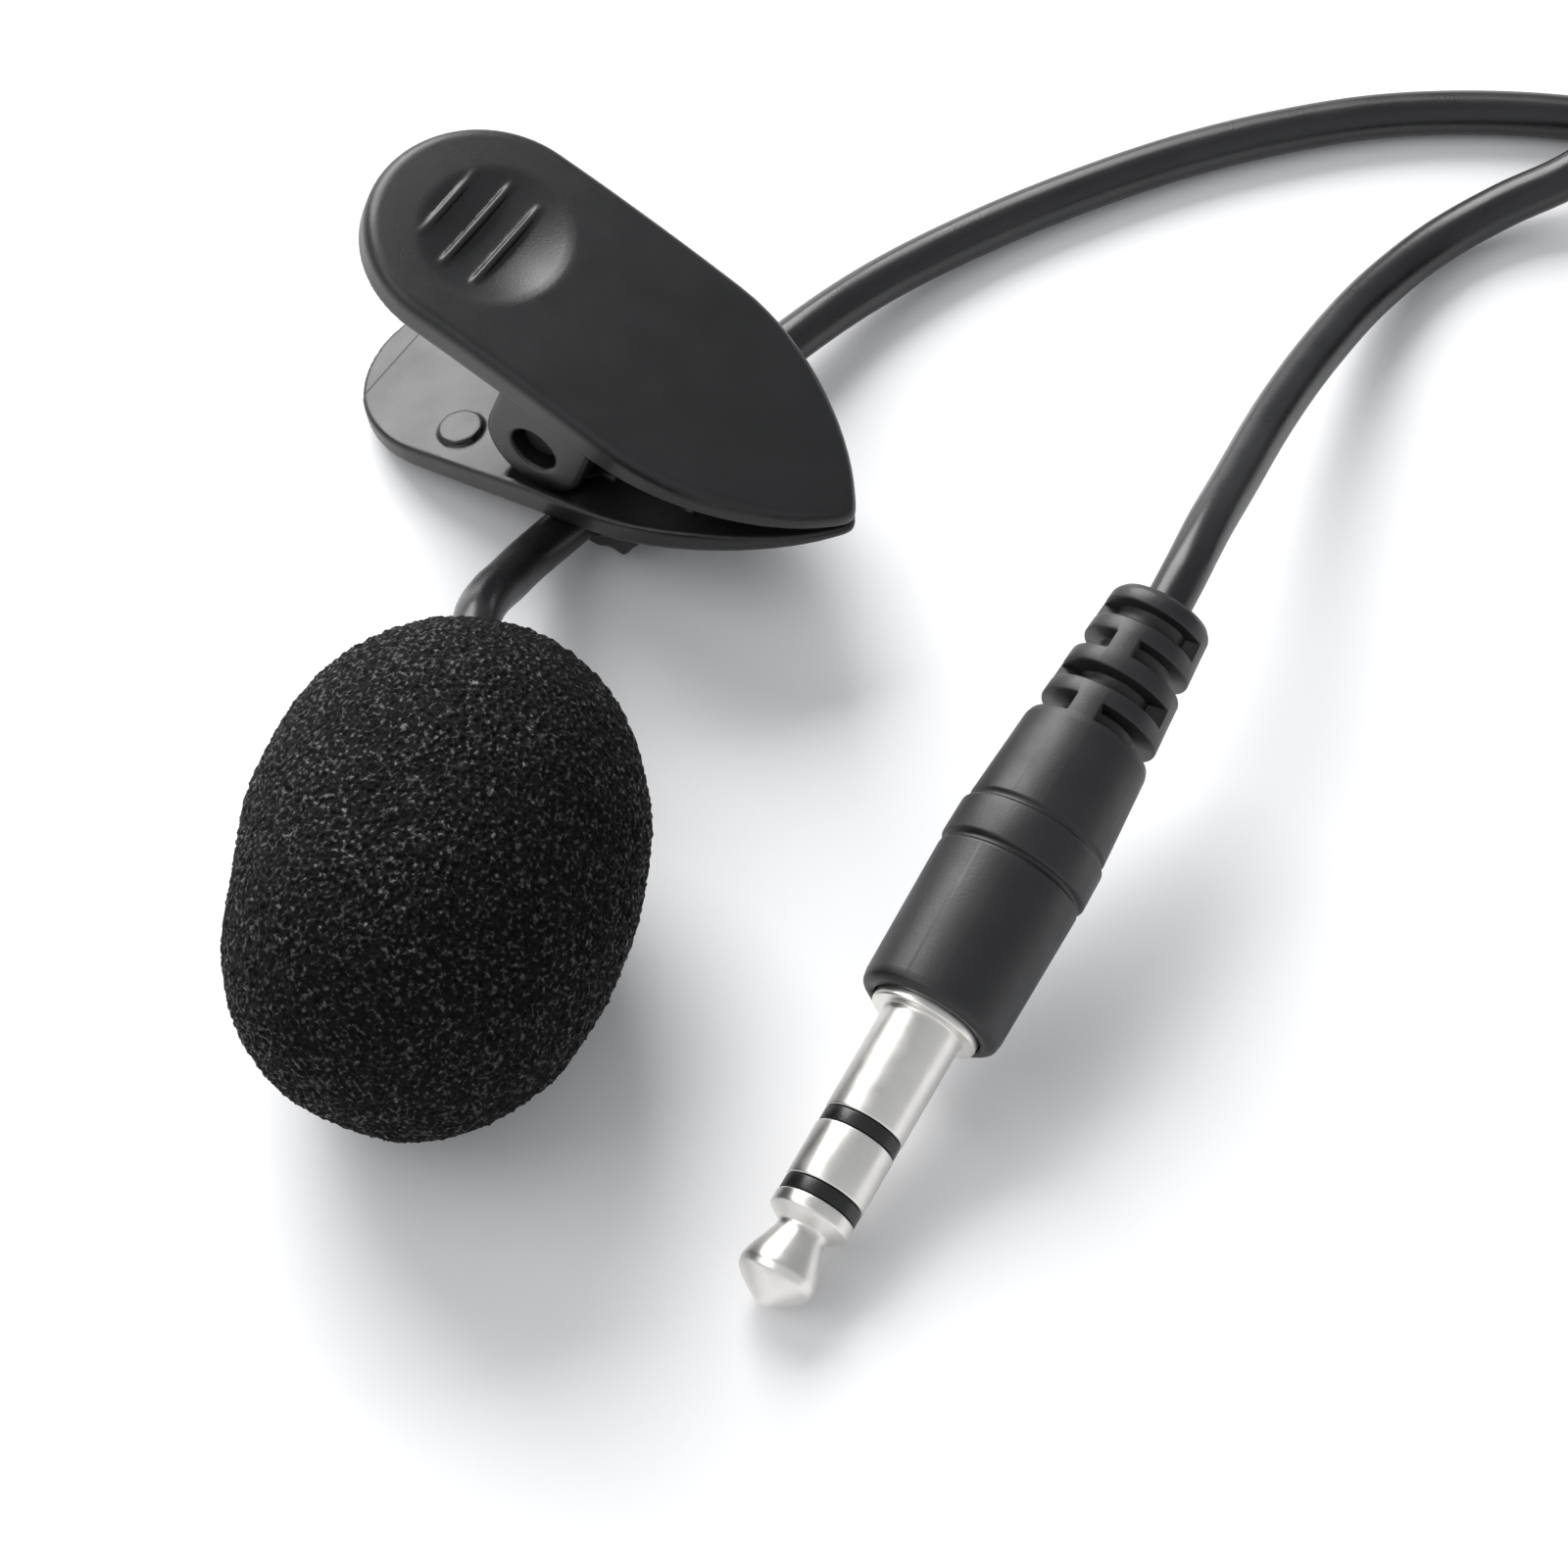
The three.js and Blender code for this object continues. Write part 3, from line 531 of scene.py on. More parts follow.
def surface(field, axes):
    """Points and quads of the closed surface where a field over a grid is zero."""
    inside = field < 0
    shape = tuple(n - 1 for n in field.shape)

    def corner(a, d):
        return a[d[0]:d[0] + shape[0], d[1]:d[1] + shape[1], d[2]:d[2] + shape[2]]

    ways = [(i, j, k) for i in (0, 1) for j in (0, 1) for k in (0, 1)]
    filled = sum(corner(inside, d).astype(np.int8) for d in ways)
    cells = np.argwhere((filled > 0) & (filled < 8))
    number = -np.ones(shape, np.int64)
    number[tuple(cells.T)] = np.arange(len(cells))
    total, hits = np.zeros((len(cells), 3)), np.zeros(len(cells))
    for axis in range(3):
        along = np.eye(3, dtype=int)[axis]
        for d in (w for w in ways if w[axis] == 0):
            a = field[tuple((cells + d).T)]
            b = field[tuple((cells + d + along).T)]
            cross = (a < 0) != (b < 0)
            t = np.where(cross, a / np.where(cross, a - b, 1.0), 0.0)
            total += cross[:, None] * (np.array(d) + t[:, None] * along)
            hits += cross
    step = np.array([line.ravel()[1] - line.ravel()[0] for line in axes])
    start = np.array([line.ravel()[0] for line in axes])
    places = start + step * (cells + total / hits[:, None])
    faces = []
    for axis in range(3):
        along, u, v = (np.eye(3, dtype=int)[(axis + k) % 3] for k in range(3))
        size = np.array(field.shape) - along
        a = inside[:size[0], :size[1], :size[2]]
        b = inside[along[0]:, along[1]:, along[2]:]
        at = np.argwhere(a != b)
        at = at[np.all((at >= u + v) & (at < np.array(shape)), axis=1)]
        quad = np.stack([number[tuple((at - d).T)] for d in (u * 0, u, u + v, v)], axis=1)
        leaving = a[tuple(at.T)]
        quad[~leaving] = quad[~leaving][:, ::-1]
        faces.append(quad)
    return places, np.vstack(faces)


# ---------------------------------------------------------------- lead and coil


def between(a, b, start, end, t):
    """The point at t on the line that is at a at the start and at b at the end."""
    return ((end - t) * a + (t - start) * b) / (end - start)


def smooth_path(points, step):
    """Points a step apart along a smooth curve through the given points."""
    points = [np.array(p, float) for p in points]
    ends = [2 * points[0] - points[1], *points, 2 * points[-1] - points[-2]]
    found = []
    for p0, p1, p2, p3 in zip(ends, ends[1:], ends[2:], ends[3:]):
        gaps = [math.sqrt(np.linalg.norm(b - a)) for a, b in ((p0, p1), (p1, p2), (p2, p3))]
        k0, k1, k2, k3 = np.cumsum([0] + gaps)
        count = max(1, round(np.linalg.norm(p2 - p1) / step))
        for t in np.linspace(k1, k2, count, endpoint=False):
            a1 = between(p0, p1, k0, k1, t)
            a2 = between(p1, p2, k1, k2, t)
            a3 = between(p2, p3, k2, k3, t)
            b1 = between(a1, a2, k0, k2, t)
            b2 = between(a2, a3, k1, k3, t)
            found.append(between(b1, b2, k1, k2, t))
    return [*found, points[-1]]


def coil_route():
    """The turns of the coil, wound outside to inside and back, one layer on another."""
    turns = []
    for layer, count in enumerate(COIL_TURNS_IN_LAYER):
        inwards = layer % 2 == 0
        for k in range(count):
            column = k if inwards else count - 1 - k
            turns.append((COIL_OUTER_TURN - CORD_D * column, COIL_FLOOR + CORD_D * layer))
    entry, leave = np.array(LEAD_ROUTE[-1][:2]) - COIL_AT, np.array(TAIL_ROUTE[0][:2]) - COIL_AT
    start = math.degrees(math.atan2(entry[1], entry[0])) % 360
    end = math.degrees(math.atan2(leave[1], leave[0])) % 360
    whole = 360 * len(turns) + end - start
    ease = 60  # degrees over which it moves to the next turn
    points = []
    for swept in np.arange(20, whole - 15, 15):
        index = int(swept // 360)
        r, z = turns[index]
        after = turns[min(index + 1, len(turns) - 1)]
        share = max(0.0, (swept % 360 - (360 - ease)) / ease)
        share = share * share * (3 - 2 * share)
        r, z = r + (after[0] - r) * share, z + (after[1] - z) * share
        inward = min(1.0, swept / 70)
        outward = min(1.0, (whole - swept) / 60)
        r += (np.hypot(*entry) - r) * (1 - inward) ** 2 + (np.hypot(*leave) - r) * (1 - outward) ** 2
        z += (LEAD_ROUTE[-1][2] - z) * (1 - inward) ** 2
        angle = math.radians(start + swept)
        points.append((COIL_AT[0] + r * math.cos(angle), COIL_AT[1] + r * math.sin(angle), z))
    return points


def add_cord():
    """The whole lead as one curve, from the gland through the coil to the plug."""
    line = np.array(smooth_path([*LEAD_ROUTE, *coil_route(), *TAIL_ROUTE], 0.7)) + CENTRED
    curve = bpy.data.curves.new("lead", "CURVE")
    curve.dimensions = "3D"
    spline = curve.splines.new("POLY")
    spline.points.add(len(line) - 1)
    spline.points.foreach_set("co", np.hstack([line * MM, np.ones((len(line), 1))]).ravel())
    spline.use_smooth = True
    curve.bevel_depth = CORD_R * MM
    curve.bevel_resolution = 6
    curve.use_fill_caps = True
    curve.materials.append(MATERIAL["cord_pvc"])
    lead = bpy.data.objects.new("lead", curve)
    bpy.context.scene.collection.objects.link(lead)
    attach(lead, "microphone")
    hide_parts("cord_lead", "cord_coil", "cord_tail")
    return lead


def add_coil_tie():
    """A woven strap, wrapped once round the coil."""
    axes = grid((COIL_IN - 2.2, -3, -0.4), (COIL_OUT + 2, 3, COIL_TOP + 2.2), 0.1)
    x, y, z = axes
    inner_x, outer_x = (COIL_IN - 2 * GAP, COIL_OUT + GAP)
    mid, half = (inner_x + outer_x) / 2, (outer_x - inner_x) / 2
    low, top = 0.33, COIL_TOP + GAP
    hole = both(abs(x - mid) - half, abs(z - (low + top) / 2) - (top - low) / 2, 0.8)
    outer_low, outer_top = 0.04, top + TIE_T
    outer_height = abs(z - (outer_low + outer_top) / 2) - (outer_top - outer_low) / 2
    rim = both(abs(x - mid) - half - TIE_T, outer_height, 1.2)
    strap = both(without(rim, hole, 0.08), abs(y) - TIE_W / 2, 0.12)
    places, faces = surface(strap, axes)
    at = Matrix.Translation(Vector((*COIL_AT, 0)) * MM + Vector(CENTRED) * MM)
    return add_piece("tie", places, faces, at, "tie_fabric", "microphone", ["coil_tie"])


# ---------------------------------------------------------------- head


def foam_radius(s):
    """Radius of the foam at s, along its axis from the middle to the lead."""
    reach = FOAM_HALF + FOAM_FULLEST if s < FOAM_FULLEST else FOAM_HALF - FOAM_FULLEST
    u = min(abs(s - FOAM_FULLEST) / reach, 1)
    fullness = 2.4 if s < FOAM_FULLEST else 2.2
    return FOAM_R * (1 - u ** fullness) ** (1 / 2.1)


# Where the soft foam is pressed in (below zero) or stands out: direction, height and spread
FOAM_SHAPE = [
    ((0.62, 0.72, 0.30), 0.12, 0.50),
    ((0.97, 0.20, 0.10), 0.12, 0.55),
    ((-0.97, -0.20, 0.10), -0.25, 0.45),
    ((-0.55, -0.80, 0.20), 0.35, 0.40),
]


def foam_surface(point):
    """A foam point, moved by the foam's dents and by its open cells."""
    way = point.normalized()
    height = 0.0
    for direction, amount, spread in FOAM_SHAPE:
        off = (way - Vector(direction).normalized()).length
        height += amount * math.exp(-((off / spread) ** 2))
    height += 0.12 * noise.noise(point * 0.35)
    near = noise.voronoi(point / CELL)[0][0]
    height += CELL_DEPTH * (near - 0.55)
    height += 0.05 * noise.noise(point * 5.0)
    return point + way * height


def add_foam():
    """The windscreen: an egg of open-cell foam with a bore, and a soft lip round the gland."""
    columns, spacing = 380, 0.135
    askew = turn(FOAM_YAW, "Z")
    fine = [-FOAM_HALF * math.cos(math.pi * i / 4000) for i in range(4001)]
    outline, last = [], None
    for s in fine:
        at = np.array([foam_radius(s), s])
        if last is None or np.linalg.norm(at - last) >= spacing:
            outline.append(at)
            last = at
    outline = [p for p in outline if p[1] < 0 or p[0] > LIP_R]
    rows = [(askew, r, s) for r, s in outline]
    lip = outline[-1][1]
    straight = Matrix.Identity(4)
    for r, s in [(LIP_R - 0.1, lip - 0.3), (LIP_R, lip - 0.8), (LIP_R + 0.5, BORE_REAR + 0.1)]:
        rows.append((straight, r, s))
    for r, s in [(BORE_R - 0.3, BORE_REAR), (BORE_R, BORE_REAR - 0.4)]:
        rows.append((straight, r, s))
    for s in np.arange(BORE_REAR - 1.5, BORE_FRONT, -1.5):
        rows.append((straight, BORE_R, s))
    rows += [(straight, BORE_R, BORE_FRONT), (straight, BORE_R * 0.5, BORE_FRONT)]
    places = [Vector((0, -FOAM_HALF, 0))]
    rings = [[0] * columns]
    for number, (tilt, r, s) in enumerate(rows):
        rings.append(list(range(len(places), len(places) + columns)))
        for i in range(columns):
            angle = 2 * math.pi * i / columns
            point = tilt @ Vector((r * math.cos(angle), s, r * math.sin(angle)))
            places.append(foam_surface(point) if number < len(outline) else point)
    places[0] = foam_surface(askew @ places[0])
    rings.append([len(places)] * columns)
    places.append(Vector((0, BORE_FRONT, 0)))
    faces = bands(zip(rings, rings[1:]), columns)
    foam = add_piece("windscreen_foam", places, faces, HEAD, "foam", "windscreen", ["foam_windscreen"])
    return foam


def add_shell():
    """The capsule's housing, with two fine grooves round it."""
    inner = SHELL_R - SHELL_WALL
    lip = inner - 0.6
    grooves = []
    for y in (SHELL_REAR - 2.2, SHELL_REAR - 1.2):
        deep = SHELL_R - 0.12
        grooves += [(SHELL_R, y - 0.2), (deep, y - 0.1), (deep, y + 0.1), (SHELL_R, y + 0.2)]
    profile = [
        (lip, SHELL_FRONT),
        (SHELL_R, SHELL_FRONT),
        *grooves,
        (SHELL_R, SHELL_REAR),
        (inner, SHELL_REAR),
        (inner, SHELL_FRONT + 0.4),
        (lip, SHELL_FRONT + 0.4),
        (lip, SHELL_FRONT),
    ]
    places, faces = lathe(softened(profile, 0.25))
    shell = add_piece("shell", places, faces, HEAD, "shell_plastic", "microphone", ["capsule_shell"])
    return flat_where_flat(shell)


def add_gland():
    """The rubber sleeve where the lead leaves the shell, with rings that let it bend."""
    seat = SHELL_REAR - 2.0
    bore = CORD_R + FIT
    rings = []
    for k in range(3):
        y = SHELL_REAR + 0.7 + 0.75 * k
        r = 1.72 - 0.12 * k
        rings += [(r, y), (r - 0.18, y + 0.12), (r - 0.18, y + 0.36), (r - 0.06, y + 0.48)]
    profile = [
        (bore, seat),
        (2.6, seat),
        (2.6, seat + 0.6),
        (1.9, seat + 0.6),
        (1.8, SHELL_REAR),
        *rings,
        (1.35, GLAND_END),
        (bore, GLAND_END),
        (bore, seat),
    ]
    places, faces = lathe(softened(profile, 0.12))
    return add_piece("gland", places, faces, HEAD, "rubber", "microphone", ["cord_gland"])


def add_grille():
    """The pierced cap in front of the capsule."""
    y0, y1 = SHELL_FRONT + 0.5, SHELL_FRONT + 0.9
    axes = grid((-3.5, y0 - 0.3, -3.5), (3.5, y1 + 0.3, 3.5), 0.07)
    x, y, z = axes
    cap = both(np.hypot(x, z) - 3.2, abs(y - (y0 + y1) / 2) - (y1 - y0) / 2, 0.1)
    holes = [(0.0, 0.0)] + [(1.7 * math.cos(a), 1.7 * math.sin(a)) for a in np.arange(6) * math.pi / 3]
    for across, up in holes:
        cap = without(cap, np.hypot(x - across, z - up) - 0.45, 0.08)
    places, faces = surface(cap, axes)
    return add_piece("grille", places, faces, HEAD, "grille_metal", "microphone", ["grille_cap"])


# ---------------------------------------------------------------- clip


def arc(centre, r, start, end, count):
    """Points along part of a circle."""
    angles = np.linspace(start, end, count)
    return [(centre[0] + r * math.cos(a), centre[1] + r * math.sin(a)) for a in angles]


def bezier(a, b, c, d, count=16):
    """Points along a curve from a to d, drawn towards b and c."""
    t = np.linspace(0, 1, count)[:, None]
    a, b, c, d = (np.array(p, float) for p in (a, b, c, d))
    return list((1 - t) ** 3 * a + 3 * t * (1 - t) ** 2 * b + 3 * t * t * (1 - t) * c + t ** 3 * d)


def lever_outline():
    """Outline of both levers from above: round thumb end, straight sides, pointed jaw."""
    w = LEVER_W
    jaw = bezier((2.8, -w), (6.4, -w), (10.3, -3.1), (12.1, -0.85))
    nose = bezier((12.1, -0.85), (12.45, -0.45), (TIP_X, -0.2), (TIP_X, 0.0), 6)
    half = [*jaw, *nose[1:]]
    other = [(x, -y) for x, y in half[::-1][1:]]
    thumb = arc((THUMB_X, 0), w, math.pi / 2, 1.5 * math.pi, 40)
    return np.array([*half, *other, *thumb])


def outline_distance(outline, x, y):
    """Distance to a closed outline in the plane, below zero inside it."""
    nearest = np.full(np.broadcast(x, y).shape, 1e9)
    inside = np.zeros(nearest.shape, bool)
    for (ax, ay), (bx, by) in zip(outline, np.roll(outline, -1, axis=0)):
        run, rise = bx - ax, by - ay
        t = np.clip(((x - ax) * run + (y - ay) * rise) / (run * run + rise * rise + 1e-12), 0, 1)
        nearest = np.minimum(nearest, np.hypot(x - ax - t * run, y - ay - t * rise))
        crosses = ((ay > y) != (by > y)) & (x < (y - ay) * run / (rise if rise else 1e-12) + ax)
        inside ^= crosses
    return np.where(inside, -nearest, nearest)


def upper_top(x):
    """Height of the upper lever's outer face, arched along its length."""
    return UPPER_TOP - 0.0052 * (x - 0.5) ** 2


def upper_under(x):
    """Height of the upper lever's inner face."""
    return upper_top(x) - np.interp(x, [2, 7, TIP_X], [1.6, 1.25, 0.85])


def lower_bottom(x):
    """Height of the lower lever's outer face, which drops towards the jaw."""
    return LOWER_BOTTOM - 0.65 * (np.maximum(x - 4, 0) / 8.6) ** 2


def lower_inner(x):
    """Height of the lower lever's inner face."""
    return lower_bottom(x) + np.interp(x, [-12.3, 0, 7.5, TIP_X], [1.1, 1.45, 1.15, 0.55])


def teeth(x, y):
    """Height of the ridges across a jaw."""
    height = 0
    for at in TEETH:
        half = 3.2 - 0.45 * (at - TEETH[0])
        ridge = np.clip(1.15 - abs(x - at) / 0.3, 0, 1) * np.clip((half - abs(y)) / 0.2, 0, 1)
        height = height + 0.3 * ridge
    return height


def cheek(x, y, z, r, inner, outer, root, flare):
    """A cheek on each side, round about the pivot, that runs to its lever at height root."""
    up = np.sign(root)
    share = np.clip(z / root, 0, 1)
    round_end = np.hypot(x, z) - r
    block = both(abs(x) - r - flare * share, both(-z * up, z * up - abs(root)))
    slab = abs(abs(y) - (inner + outer) / 2) - (outer - inner) / 2
    return both(either(round_end, block), slab, 0.15)


def add_upper_lever():
    """Upper lever: thumb recess with three ridges, rounded rim, and two ears on the pin."""
    axes = grid((-12.6, -5.7, -2.8), (13.1, 5.7, 5.4), 0.1)
    x, y, z = axes
    side = outline_distance(lever_outline(), x, y)
    plate = both(side, z - upper_top(x), 0.55)
    plate = both(plate, upper_under(x) - teeth(x, y) - z, 0.15)
    body = either(plate, cheek(x, y, z, EAR_R, EAR_INNER, EAR_OUTER, UPPER_TOP - 1.2, 0), 0.3)
    body = without(body, np.hypot(x, z) - PIVOT_BORE, 0.12)
    floor = upper_top(DISH_X)
    dish = np.sqrt((x - DISH_X) ** 2 + y ** 2 + (z - floor - DISH_R + DISH_DEEP) ** 2) - DISH_R
    body = without(body, dish, 0.12)
    for at in RIDGES:
        half = math.sqrt(RIDGE_REACH ** 2 - at ** 2) - 0.35
        bar = both(abs(x - DISH_X - at) - 0.17, abs(z - floor + 0.6) - 0.42, 0.12)
        body = either(body, both(bar, abs(y) - half, 0.15), 0.1)
    places, faces = surface(body, axes)
    return add_piece("clip_upper", places, faces, UPPER, "clip_plastic", "upper_lever", ["upper_lever"])


def add_lower_lever():
    """Lower lever: two lugs between the ears, studs and a step inside, the swivel's recess below."""
    axes = grid((-12.6, -5.7, -4.6), (13.1, 5.7, 2.7), 0.1)
    x, y, z = axes
    side = outline_distance(lever_outline(), x, y)
    inner = lower_inner(x) + teeth(x, y)
    plate = both(both(side, lower_bottom(x) - z, 0.4), z - inner, 0.2)
    body = either(plate, cheek(x, y, z, LUG_R, LUG_INNER, LUG_OUTER, LOWER_BOTTOM + 1.0, 0.8), 0.25)
    pocket = abs(abs(y) - (EAR_INNER + EAR_OUTER) / 2) - (EAR_OUTER - EAR_INNER) / 2 - 0.25
    body = without(body, both(np.hypot(x, z) - EAR_R - GAP, pocket), 0.08)
    body = without(body, np.hypot(x, z) - PIVOT_BORE, 0.1)
    stud_top = float(lower_inner(STUD[0])) + 0.25
    stud = both(np.hypot(x - STUD[0], abs(y) - STUD[1]) - STUD_R, abs(z - stud_top + 0.4) - 0.4, 0.1)
    body = either(body, stud, 0.08)
    body = without(body, both(x - STEP_X, float(lower_inner(STEP_X)) - 0.25 - z), 0.05)
    axis = np.hypot(x - STEM_X, y)
    body = without(body, both(axis - SWIVEL_R, z - LOWER_BOTTOM - SWIVEL_DEEP), 0.08)
    body = without(body, axis - STEM_R - FIT)
    body = without(body, both(axis - RIVET_R - FIT, LOWER_BOTTOM + 0.95 - z), 0.06)
    places, faces = surface(body, axes)
    return add_piece("clip_lower", places, faces, LOWER, "clip_plastic", "lower_lever", ["lower_lever"])


def add_hook():
    """The swivelling hook: disc, riveted stem, and a channel for the lead, open to one side."""
    axes = grid((-3, -4.8, -7.2), (6.6, 4.8, -1.7), 0.08)
    x, y, z = axes
    x, y, z = (np.broadcast_to(a, np.broadcast(x, y, z).shape) for a in (x, y, z))
    points = np.stack([x, y, z], axis=-1)
    level = np.array(turn(-LOWER_TILT, "Y").to_3x3())
    across = np.array(turn(-CORD_CROSS, "Z").to_3x3())
    own = (points @ level - np.array(CORD_IN_CLIP)) @ across
    u, v, w = own[..., 0], own[..., 1], own[..., 2]
    bore = CORD_R + 0.12
    outer = bore + 0.7
    sleeve = np.hypot(u, w) - outer
    back = both(abs(u - (outer + 0.5) / 2) - (outer + 0.5) / 2, abs(w - 0.49) - 1.51)
    block = both(either(sleeve, back, 0.3), abs(v) - HOOK_HALF, 0.25)
    channel = either(np.hypot(u, w) - bore, both(u - 0.1, both(-0.75 - w, w - 3)))
    hook = both(without(block, channel, 0.15), z - LOWER_BOTTOM + 0.05, 0.1)
    axis = np.hypot(x - STEM_X, y)
    seat = LOWER_BOTTOM + SWIVEL_DEEP - FIT
    disc = both(axis - SWIVEL_R + FIT, both(z - seat, LOWER_BOTTOM - 0.12 - z), 0.1)
    stem = both(axis - STEM_R, both(z - LOWER_BOTTOM - 1.1, seat - 0.2 - z))
    rivet = both(axis - RIVET_R, both(z - LOWER_BOTTOM - 1.4, LOWER_BOTTOM + 1.05 - z), 0.12)
    body = either(either(hook, disc, 0.15), either(stem, rivet))
    places, faces = surface(body, axes)
    return add_piece("hook", places, faces, LOWER, "clip_plastic", "cable_hook", ["cable_hook"])


def add_pin():
    """The pivot pin, with rounded ends, drawn near black as painted shade for the shadowed bore."""
    half = EAR_OUTER - 0.6
    profile = [(0, -half), (PIN_R, -half), (PIN_R, half), (0, half)]
    places, faces = lathe(softened(profile, 0.22), 48)
    pin = add_piece("pin", places, faces, LOWER, "spring_steel", "lower_lever", ["pivot_pin"])
    # painted shade: the pin is drawn near black so that the bore reads as in shade
    pin.data.materials[0] = MATERIAL["painted_shade_steel"]
    return flat_where_flat(pin)


def add_spring():
    """The torsion spring round the pin, with a leg along each lever."""
    half = SPRING_TURNS * SPRING_PITCH / 2
    per_turn = 16
    last = SPRING_TURNS * per_turn + 10
    points = [(-6.6, -half, 2.55), (-3.6, -half, 2.2)]
    for i in range(last + 1):
        angle = math.radians(120) - 2 * math.pi * i / per_turn
        points.append((SPRING_R * math.cos(angle), -half + 2 * half * i / last, SPRING_R * math.sin(angle)))
    points += [(-3.2, half, -1.1), (-6.6, half, -1.25)]
    line = [LOWER @ Vector(p * MM) for p in smooth_path(points, 0.3)]
    curve = bpy.data.curves.new("spring", "CURVE")
    curve.dimensions = "3D"
    spline = curve.splines.new("POLY")
    spline.points.add(len(line) - 1)
    spline.points.foreach_set("co", np.array([(*p, 1.0) for p in line]).ravel())
    spline.use_smooth = True
    curve.bevel_depth = WIRE_R * MM
    curve.bevel_resolution = 3
    curve.use_fill_caps = True
    curve.materials.append(MATERIAL["spring_steel"])
    spring = bpy.data.objects.new("spring", curve)
    bpy.context.scene.collection.objects.link(spring)
    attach(spring, "lower_lever")
    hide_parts("torsion_spring")
    return spring


# ---------------------------------------------------------------- plug


CONTACTS = {
    "plug_tip": [
        (0, 0), (0.3, 0.03), (1.3, 0.75), (1.6, 1.05), (1.68, 1.4), (1.6, 1.8), (1.08, 3.2), (1.1, 3.45),
        (CONTACT_R, 3.9), (CONTACT_R, 4.5), (0.55, 4.5), (0.55, 16.4), (0, 16.4),
    ],
    "plug_ring": [
        (0.8, 5.2), (CONTACT_R, 5.2), (CONTACT_R, 7.75), (1.05, 7.75), (1.05, 17.0), (0.8, 17.0), (0.8, 5.2),
    ],
    "plug_sleeve": [
        (1.35, 8.45), (CONTACT_R, 8.45), (CONTACT_R, FLANGE_Y), (2.35, FLANGE_Y), (2.35, BODY_FRONT + 0.5),
        (1.9, BODY_FRONT + 0.5), (1.9, 17.5), (1.35, 17.5), (1.35, 8.45),
    ],
}


def ring_profile(inner, outer, y0, y1):
    """Profile of a plain ring."""
    return [(inner, y0), (outer, y0), (outer, y1), (inner, y1), (inner, y0)]


def add_contacts():
    """Tip, ring and sleeve of the plug, and the two insulating rings between them."""
    made = []
    for node, profile in CONTACTS.items():
        places, faces = lathe(softened(profile, 0.1, 5), 128)
        name = node.replace("plug_", "contact_")
        piece = add_piece(name, places, faces, PLUG, "nickel", "microphone", [node])
        made.append(flat_where_flat(piece))
    land = CONTACT_R - 0.04
    insulators = {
        "plug_insulator_front": ring_profile(0.6, land, 4.55, 5.15),
        "plug_insulator_rear": ring_profile(1.1, land, 7.8, 8.4),
    }
    for node, profile in insulators.items():
        places, faces = lathe(softened(profile, 0.05), 96)
        name = node.replace("plug_", "")
        made.append(add_piece(name, places, faces, PLUG, "insulator", "microphone", [node]))
    return made


BODY_PROFILE = [
    (2.75, BODY_FRONT), (3.05, BODY_FRONT + 0.2), (3.12, BODY_FRONT + 0.6), (3.2, 20.5),
    (3.06, 20.62), (3.06, 20.78), (3.28, 20.9), (3.24, 22.6), (3.0, 22.72), (3.0, 22.88), (3.1, 23.0),
    (2.8, 27.1), (2.72, 27.3), (2.24, PLUG_LENGTH - 0.25), (2.05, PLUG_LENGTH),
]


def body_rows():
    """Rows of the moulded body: outer radius, radius in the slots, y, and the slot's number or None."""
    profile = np.array(softened(BODY_PROFILE, 0.12, 3))
    rows = [(r, r, y, None) for r, y in profile]

    def outer(y):
        return float(np.interp(y, profile[:, 1], profile[:, 0]))

    for number, middle_y in enumerate(RELIEF_ROWS):
        y0, y1 = middle_y - SLOT_W / 2, middle_y + SLOT_W / 2
        rows = [row for row in rows if not y0 - 0.12 < row[2] < y1 + 0.12]
        first_edge = ((y0 - 0.1, 0), (y0 - 0.03, 0.03), (y0, 0.1))
        last_edge = ((y1, 0.1), (y1 + 0.03, 0.03), (y1 + 0.1, 0))
        for y, drop in (*first_edge, *last_edge):
            r = outer(y)
            rows.append((r, r - drop, y, number))
        for y in (y0 + 0.01, y0 + 0.05, y1 - 0.05, y1 - 0.01):
            corner = 0.05 if min(y - y0, y1 - y) < 0.02 else 0
            rows.append((outer(y), SLOT_FLOOR + corner, y, number))
    return sorted(rows, key=lambda row: row[2])


def add_plug_body():
    """The moulded body: barrel with a proud band, and a slotted strain relief joined by webs."""
    edge = math.degrees(math.asin(WEB_HALF / RELIEF_R))
    angles = set(np.arange(0, 360, 3.75))
    for quarter in range(4):
        for off in (-edge - 1.2, -edge, edge, edge + 1.2):
            angles.add((90 * quarter + off) % 360)
    angles = np.array(sorted(angles))
    places, rings = [], []
    for outer, slotted, y, number in body_rows():
        rings.append(list(range(len(places), len(places) + len(angles))))
        shift = 0 if number is None else 90 * (number % 2)
        off = abs((angles + shift + 90) % 180 - 90)
        radii = np.where(off <= edge + 0.01, outer, slotted)
        for r, a in zip(radii, np.radians(angles)):
            places.append((r * math.cos(a), y, r * math.sin(a)))
    inside = [(CORD_R + 0.15, PLUG_LENGTH), (CORD_R + 0.15, 25.5), (2.45, 25.0), (2.45, BODY_FRONT)]
    for r, y in softened(inside, 0.1):
        rings.append(list(range(len(places), len(places) + len(angles))))
        places += [(r * math.cos(a), y, r * math.sin(a)) for a in np.radians(angles)]
    faces = bands([*zip(rings, rings[1:]), (rings[-1], rings[0])], len(angles))
    body = add_piece("plug_moulding", places, faces, PLUG, "plug_pvc", "microphone", ["plug_body"])
    return flat_where_flat(body)


# ---------------------------------------------------------------- stage


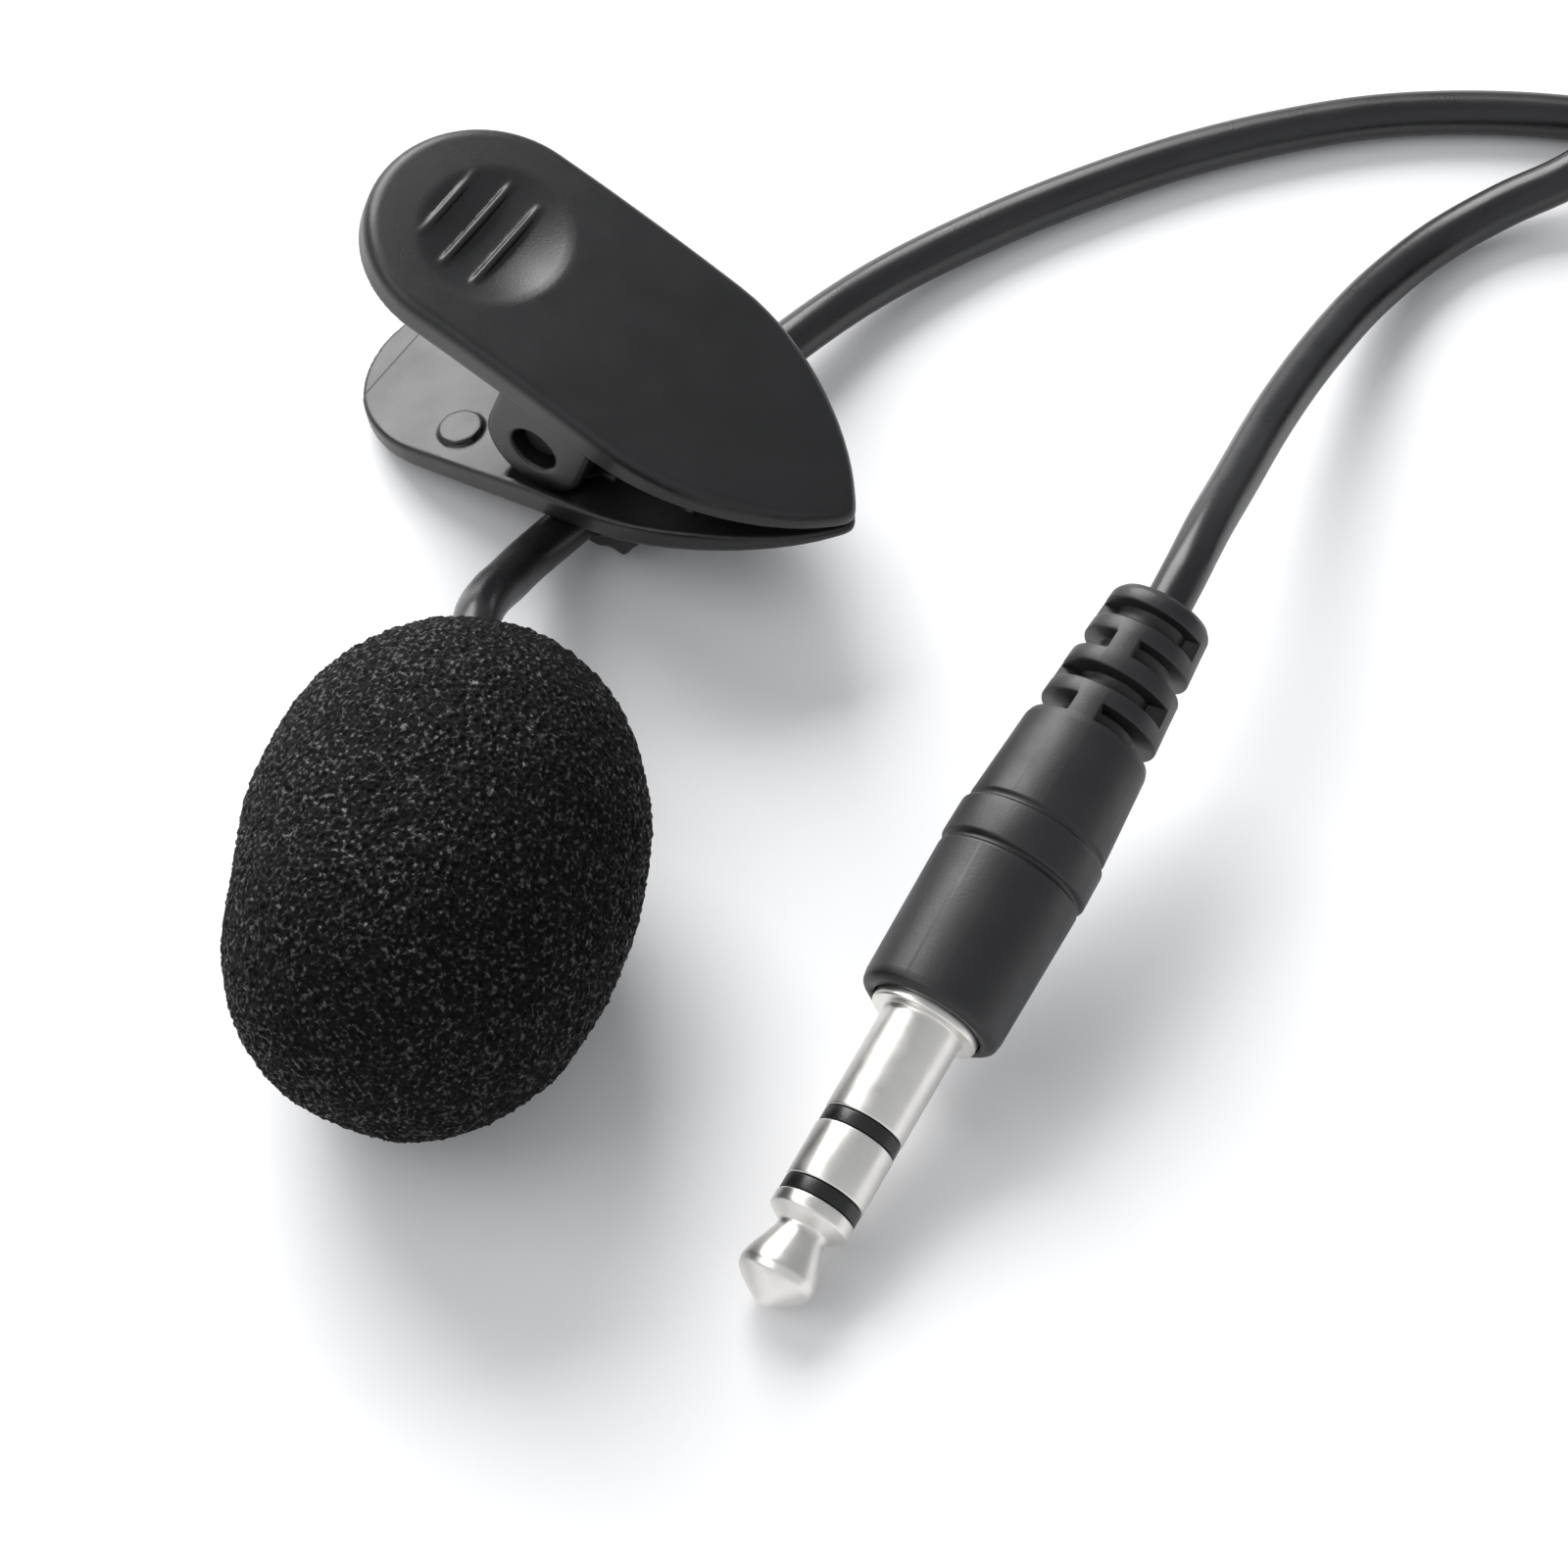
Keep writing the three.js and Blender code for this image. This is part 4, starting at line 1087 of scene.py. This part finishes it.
def add_floor():
    """A plain pale floor."""
    mesh = bpy.data.meshes.new("floor")
    reach = 4.0
    corners = [(-reach, -reach, 0), (reach, -reach, 0), (reach, reach, 0), (-reach, reach, 0)]
    mesh.from_pydata(corners, [], [(0, 1, 2, 3)])
    floor = bpy.data.objects.new("floor", mesh)
    bpy.context.scene.collection.objects.link(floor)
    material = bpy.data.materials.new("floor")
    material.use_nodes = True
    shader = material.node_tree.nodes["Principled BSDF"]
    shader.inputs["Base Color"].default_value = (0.93, 0.93, 0.935, 1)
    shader.inputs["Roughness"].default_value = 0.7
    mesh.materials.append(material)


def add_light(name, at, size, watts):
    """A square soft light that faces the microphone."""
    data = bpy.data.lights.new(name, "AREA")
    data.shape = "SQUARE"
    data.size = size
    data.energy = watts
    light = bpy.data.objects.new(name, data)
    light.location = at
    light.rotation_euler = (-Vector(at)).to_track_quat("-Z", "Y").to_euler()
    bpy.context.scene.collection.objects.link(light)


def add_world():
    """Pale surroundings, brighter on the camera's side than behind and above."""
    world = bpy.data.worlds.new("studio")
    bpy.context.scene.world = world
    world.use_nodes = True
    nodes, links = world.node_tree.nodes, world.node_tree.links
    coordinates = nodes.new("ShaderNodeTexCoord")
    parts = nodes.new("ShaderNodeSeparateXYZ")
    towards_camera = nodes.new("ShaderNodeMapRange")
    towards_camera.interpolation_type = "SMOOTHSTEP"
    towards_camera.inputs["From Min"].default_value = 0.1
    towards_camera.inputs["From Max"].default_value = -0.75
    towards_camera.inputs["To Min"].default_value = WORLD_BEHIND
    towards_camera.inputs["To Max"].default_value = WORLD_IN_FRONT
    links.new(coordinates.outputs["Generated"], parts.inputs["Vector"])
    links.new(parts.outputs["Y"], towards_camera.inputs["Value"])
    background = nodes["Background"]
    background.inputs["Color"].default_value = (0.95, 0.97, 1.0, 1)
    links.new(towards_camera.outputs["Result"], background.inputs["Strength"])


def add_camera():
    """The camera, at the photograph's angle."""
    data = bpy.data.cameras.new("camera")
    data.lens = CAMERA_LENS
    data.sensor_width = 36
    data.clip_start = 0.01
    data.clip_end = 20
    camera = bpy.data.objects.new("camera", data)
    bpy.context.scene.collection.objects.link(camera)
    up = math.radians(CAMERA_ELEVATION)
    back = Vector((0, -math.cos(up), math.sin(up)))
    camera.location = (Vector(CAMERA_TARGET) + back * CAMERA_DISTANCE) * MM
    camera.rotation_euler = (-back).to_track_quat("-Z", "Y").to_euler()
    bpy.context.scene.camera = camera


# ---------------------------------------------------------------- the scene


def finish_cad_nodes():
    """Gives every CAD node that still shows the material of its slot."""
    for part in frame["record"]["subparts"]:
        node = frame["nodes"][part["node"]]
        node.data.materials.clear()
        node.data.materials.append(MATERIAL[part["material_slot"]])


add_camera()
finish_cad_nodes()
lead = add_cord()
add_coil_tie()
add_foam()
add_shell()
add_gland()
add_grille()
add_upper_lever()
add_lower_lever()
add_hook()
add_pin()
add_spring()
on_lead = [*add_contacts(), add_plug_body()]
inner_plug = ("plug_tip_insulator", "plug_ring_insulator", "tip_lug", "ring_lug", "ground_crimp")
on_lead += [frame["nodes"][name] for name in inner_plug]

add_floor()
add_world()
add_light("key", (-0.24, 0.55, 0.45), 0.55, 8.2)
add_light("fill", (-0.45, -0.1, 0.55), 0.5, 1.2)
bpy.context.scene.view_settings.view_transform = "Standard"

bpy.context.view_layer.update()
